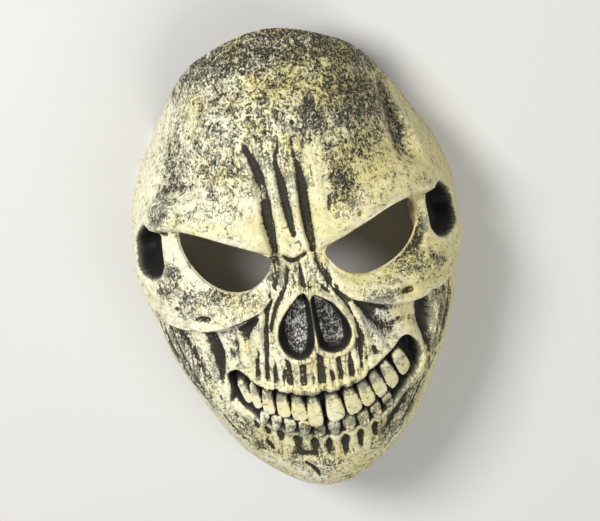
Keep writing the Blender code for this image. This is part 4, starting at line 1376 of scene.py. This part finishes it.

# %% [markdown]
# ## How dark the wash lies
#
# The black wash dries into specks and short fibres. A fine noise makes them, and a density decides how many
# of them turn dark: few on the brows, many in the grimy patches and the painted shadow on the crown, nearly
# all in the cuts. The density is a sum of the masks with broad blotches and long runs added. Limits between
# the steps keep a grimy patch from closing up to plain black, which only the wash in the cuts and the deep
# hollows may do. A few sparse flecks lie on all of it.

# %% Specks, streaks and wash
SPECK_SHARE = 0.55
FIBRE_SHARE = 0.45
FIBRE_STRETCH = (1.0, 2.4, 1.6)
RUN_STRETCH = (1.0, 9.0, 6.0)
SHADE_DENSITY = 0.14
GRANITE_DENSITY = 0.38
BLOTCH_DENSITY = 0.95
RUN_DENSITY = 1.9
MOST_GRIME_AND_SHADE = 0.62
WASH_RANGE = (0.1, 0.95)
WASH_DENSITY = 0.56
MOST_WASH = 0.86
DEEP_DENSITY = 0.9
SPECK_CONTRAST = 2.6
SPECK_EDGE = (-0.17, 0.12)
FLECK_RANGE = (0.61, 0.67)
FLECK_STRENGTH = 0.8
HALF = 0.5


def centred(tree, value):
    """A value from 0 to 1 moved down to lie on both sides of 0."""
    return calc(tree, "SUBTRACT", value, HALF)


def speck_tone(tree, specks):
    """Fine tone of specks with short upright fibres through them."""
    stretched = places_in_mm(tree, FIBRE_STRETCH)
    fibres = noise(tree, stretched, scale=0.8, detail=4.0, roughness=0.7, distortion=1.8)
    speck_part = calc(tree, "MULTIPLY", specks, SPECK_SHARE)
    return calc(tree, "ADD", speck_part, calc(tree, "MULTIPLY", fibres, FIBRE_SHARE))


def wash_density(tree, where):
    """How much of the surface the dark paint covers, from the masks, blotches and runs."""
    blotches = noise(tree, where, scale=0.22, detail=3.0, roughness=0.6, distortion=1.0)
    runs = noise(tree, places_in_mm(tree, RUN_STRETCH), scale=0.8, detail=3.0, roughness=0.6, distortion=0.5)
    runs = calc(tree, "MULTIPLY", centred(tree, runs), stored(tree, "streaks"))
    wash = remap(tree, stored(tree, "wash"), *WASH_RANGE)
    # Painted shade in the broad hollows, with grime and the painted shadow on the crown.
    density = calc(tree, "MULTIPLY_ADD", stored(tree, "shade"), SHADE_DENSITY, stored(tree, "grime_and_shadow"))
    density = calc(tree, "MULTIPLY_ADD", stored(tree, "granite"), GRANITE_DENSITY, density)
    density = calc(tree, "MULTIPLY_ADD", centred(tree, blotches), BLOTCH_DENSITY, density)
    density = calc(tree, "MULTIPLY_ADD", runs, RUN_DENSITY, density)
    density = calc(tree, "MINIMUM", density, MOST_GRIME_AND_SHADE)
    density = calc(tree, "MULTIPLY_ADD", wash, WASH_DENSITY, density)
    density = calc(tree, "MINIMUM", density, MOST_WASH)
    return calc(tree, "MULTIPLY_ADD", stored(tree, "deep"), DEEP_DENSITY, density)


def dark_paint(tree, where, tone):
    """1 where the dark paint lies and 0 on bare bone, with narrow soft edges."""
    density = centred(tree, wash_density(tree, where))
    level = calc(tree, "MULTIPLY_ADD", centred(tree, tone), SPECK_CONTRAST, density)
    flecks = noise(tree, where, scale=0.42, detail=3.0, roughness=0.6, distortion=0.5)
    sparse = calc(tree, "MULTIPLY", remap(tree, flecks, *FLECK_RANGE), FLECK_STRENGTH)
    return calc(tree, "MAXIMUM", remap(tree, level, *SPECK_EDGE), sparse)


print("most of the skin that grime covers:", MOST_GRIME_AND_SHADE, "and the wash:", MOST_WASH)

# %% [markdown]
# ## The painted outside
#
# The colours are layered as the painter did it: bone, then the dark specks and wash, then black in the deep
# hollows, and last a light brush over what stands proud. The dark paint is a little lower and rougher than
# the bone, which has the soft shine of latex.

# %% Painted latex
WASH_BROWN = linear(18, 15, 12)
WASH_GREY = linear(46, 42, 34)
DEEP_BLACK = linear(12, 11, 10)
BROWN_RANGE = (0.4, 0.62)
DEEP_RANGE = (0.15, 0.6)
WASH_COVER = 0.985
RIDGE_BRUSH = 0.3
PAINT_STEP = 0.0004  # metres from the bare bone down into the dark specks
WORN_STRENGTH = 0.8
DARK_DROP = -0.8
TONE_RISE = 0.6
OUTSIDE_GRAIN = 0.0002
BONE_ROUGHNESS = 0.4
WASH_ROUGHNESS = 0.7


def make_painted_latex():
    """Bone paint with a dark wash, specks and streaks, granite flecks in the nose and black deep hollows."""
    material, tree, shader = new_material("painted_bone_latex")
    where = places_in_mm(tree)
    specks = noise(tree, where, scale=0.95, detail=5.0, roughness=0.74, distortion=0.5)
    tone = speck_tone(tree, specks)
    dark = dark_paint(tree, where, tone)
    deep = stored(tree, "deep")

    wash = mix_colour(tree, remap(tree, specks, *BROWN_RANGE), WASH_GREY, WASH_BROWN)
    painted = mix_colour(tree, calc(tree, "MULTIPLY", dark, WASH_COVER), bone_colour(tree, where), wash)
    painted = mix_colour(tree, remap(tree, deep, *DEEP_RANGE), painted, DEEP_BLACK)
    bare_ridge = calc(tree, "MULTIPLY", stored(tree, "ridge"), calc(tree, "SUBTRACT", 1.0, deep))
    colour = mix_colour(tree, calc(tree, "MULTIPLY", bare_ridge, RIDGE_BRUSH), painted, BONE_CREAM)
    tree.links.new(colour, shader.inputs["Base Color"])

    pitted = calc(tree, "MULTIPLY_ADD", dark, DARK_DROP, calc(tree, "MULTIPLY", tone, TONE_RISE))
    sockets = {"Height": pitted, "Distance": PAINT_STEP, "Strength": WORN_STRENGTH}
    worn = add_node(tree, "ShaderNodeBump", sockets)
    grain = add_node(tree, "ShaderNodeGroup", node_tree=grain_group)
    tree.links.new(where, grain.inputs["Places"])
    tree.links.new(worn.outputs["Normal"], grain.inputs["Normal"])
    grain.inputs["Depth"].default_value = OUTSIDE_GRAIN
    tree.links.new(grain.outputs["Normal"], shader.inputs["Normal"])
    roughness = remap(tree, dark, 0.0, 1.0, BONE_ROUGHNESS, WASH_ROUGHNESS)
    tree.links.new(roughness, shader.inputs["Roughness"])
    shader.inputs["Specular IOR Level"].default_value = 0.4
    return material


painted_latex = make_painted_latex()
print("nodes in the paint:", len(painted_latex.node_tree.nodes))

# %% [markdown]
# ## The bare inside and the elastic
#
# Inside, the latex is left unpainted: plain cream with a little mottling. The elastic is black, woven with
# fine ribs across its width, which a wave along its length gives.

# %% Bare latex and woven elastic
LATEX_CREAM = linear(214, 200, 160)
LATEX_SHADE = linear(184, 168, 128)
ELASTIC_DARK = linear(18, 18, 20)
ELASTIC_LIGHT = linear(52, 52, 55)
RIB_SPACING = 0.9
INSIDE_GRAIN = 0.0004
MOTTLE_RANGE = (0.6, 1.2)
RIB_SHARE = 0.35
THREAD_SHARE = 0.5
WEAVE_MIDDLE = 0.25
WEAVE_STEP = 0.0003
WEAVE_STRENGTH = 0.8


def make_bare_latex():
    """Unpainted cream latex."""
    material, tree, shader = new_material("bare_latex")
    where = places_in_mm(tree)
    grain = add_node(tree, "ShaderNodeGroup", node_tree=grain_group)
    tree.links.new(where, grain.inputs["Places"])
    grain.inputs["Depth"].default_value = INSIDE_GRAIN
    mottled = mix_colour(tree, remap(tree, grain.outputs["Tone"], *MOTTLE_RANGE), LATEX_SHADE, LATEX_CREAM)
    tree.links.new(mottled, shader.inputs["Base Color"])
    tree.links.new(grain.outputs["Normal"], shader.inputs["Normal"])
    shader.inputs["Roughness"].default_value = 0.55
    return material


def make_woven_elastic():
    """Black elastic with ribs across it and threads along it."""
    material, tree, shader = new_material("woven_elastic")
    ribs = calc(tree, "SINE", calc(tree, "MULTIPLY", stored(tree, "along_band"), 2 * math.pi / RIB_SPACING))
    threads = noise(tree, places_in_mm(tree, (1.0, 1.0, 0.4)), scale=2.0, detail=3.0)
    threads = calc(tree, "MULTIPLY_ADD", threads, THREAD_SHARE, WEAVE_MIDDLE)
    weave = calc(tree, "MULTIPLY_ADD", ribs, RIB_SHARE, threads)
    colour = mix_colour(tree, weave, ELASTIC_DARK, ELASTIC_LIGHT)
    tree.links.new(colour, shader.inputs["Base Color"])
    sockets = {"Height": weave, "Distance": WEAVE_STEP, "Strength": WEAVE_STRENGTH}
    bumped = add_node(tree, "ShaderNodeBump", sockets)
    tree.links.new(bumped.outputs["Normal"], shader.inputs["Normal"])
    shader.inputs["Roughness"].default_value = 0.82
    shader.inputs["Sheen Weight"].default_value = 0.3
    return material


skin.data.materials.append(painted_latex)
skin.data.materials.append(make_bare_latex())
band.data.materials.append(make_woven_elastic())
print([slot.name for slot in skin.data.materials], [slot.name for slot in band.data.materials])

# %% [markdown]
# ## Pieces and frame
#
# Each row gives a piece, the solid it stands for and a slot name. Every piece rides on the root body.

# %% Body, solid and slot of each piece
PIECES = (
    (skin, "mask_shell", "painted_latex"),
    (band, "head_elastic", "black_elastic"),
)
for piece, node_name, slot_name in PIECES:
    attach(piece, "root")
    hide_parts(node_name)
    print(piece.name, "takes the place of", node_name)

# %% [markdown]
# ## The camera
#
# The mask was photographed from the front. So the camera looks almost straight down at it, a little from the
# forehead side, and is turned so that the face leans to the left in the picture. It stands two metres off
# with a long lens, which keeps the near parts of the face from looking too large.

# %% Camera
PITCH = math.radians(18.0)
YAW = math.radians(0.5)
ROLL = math.radians(8.7)
CAMERA_DISTANCE = 2.0
LENS = 262.0
CLIP_END = 20.0
AIM = Vector((0.0, 0.001, 0.040))

towards = Vector((math.sin(YAW) * math.cos(PITCH), math.sin(PITCH), math.cos(YAW) * math.cos(PITCH)))
level_right = Vector((0.0, 1.0, 0.0)).cross(towards).normalized()
level_up = towards.cross(level_right)
right = level_right * math.cos(ROLL) - level_up * math.sin(ROLL)
upright = level_up * math.cos(ROLL) + level_right * math.sin(ROLL)


def add_camera():
    """Camera at the viewing angle of the photograph."""
    data = bpy.data.cameras.new("camera")
    data.lens = LENS
    data.clip_end = CLIP_END
    camera = bpy.data.objects.new("camera", data)
    bpy.context.scene.collection.objects.link(camera)
    turned = Matrix((right, upright, towards)).transposed().to_4x4()
    camera.matrix_world = Matrix.Translation(AIM + towards * CAMERA_DISTANCE) @ turned
    bpy.context.scene.camera = camera
    return camera


camera = add_camera()
print("camera at", [round(value, 3) for value in camera.location])

# %% [markdown]
# ## Floor and light
#
# A pale floor and big soft lights keep attention on the mask. The main light comes from the left of the
# picture and a weaker, broader one from the lower right, so the brows and cheekbones throw soft shadows
# into the hollows. The world adds a little even light. Each light is placed along the camera's own
# directions and faces the mask.

# %% Floor, lights and world
FLOOR_HALF = 6.0
FLOOR_TONE = linear(214, 214, 213)
FLOOR_ROUGHNESS = 0.9
WORLD_STRENGTH = 0.3

Light = namedtuple("Light", "name towards_camera upwards to_right size power colour")
LIGHTS = [
    Light("key_light", 1.2, 0.15, -0.7, 0.45, 17.5, (1.0, 0.985, 0.95)),
    Light("fill_light", 1.0, -0.7, 0.7, 0.9, 7.0, (1.0, 0.99, 0.96)),
]


def add_light(row):
    """A square soft light that faces the mask."""
    data = bpy.data.lights.new(row.name, "AREA")
    data.size = row.size
    data.energy = row.power
    data.color = row.colour
    light = bpy.data.objects.new(row.name, data)
    light.location = AIM + towards * row.towards_camera + upright * row.upwards + right * row.to_right
    light.rotation_euler = (AIM - light.location).to_track_quat("-Z", "Y").to_euler()
    bpy.context.scene.collection.objects.link(light)


def add_floor():
    """Pale floor, level with the rim of the mask."""
    corners = [(x * FLOOR_HALF, y * FLOOR_HALF, 0.0) for x, y in ((-1, -1), (1, -1), (1, 1), (-1, 1))]
    mesh = bpy.data.meshes.new("floor")
    mesh.from_pydata(corners, [], [(0, 1, 2, 3)])
    material, _, shader = new_material("pale_floor")
    shader.inputs["Base Color"].default_value = FLOOR_TONE
    shader.inputs["Roughness"].default_value = FLOOR_ROUGHNESS
    mesh.materials.append(material)
    floor = bpy.data.objects.new("floor", mesh)
    bpy.context.scene.collection.objects.link(floor)


add_floor()
for row in LIGHTS:
    add_light(row)

world = bpy.data.worlds.new("studio")
world.use_nodes = True
world.node_tree.nodes["Background"].inputs["Color"].default_value = (1.0, 1.0, 1.0, 1.0)
world.node_tree.nodes["Background"].inputs["Strength"].default_value = WORLD_STRENGTH
bpy.context.scene.world = world
bpy.context.scene.view_settings.view_transform = "Standard"
print("lights:", [(row.name, row.power) for row in LIGHTS])
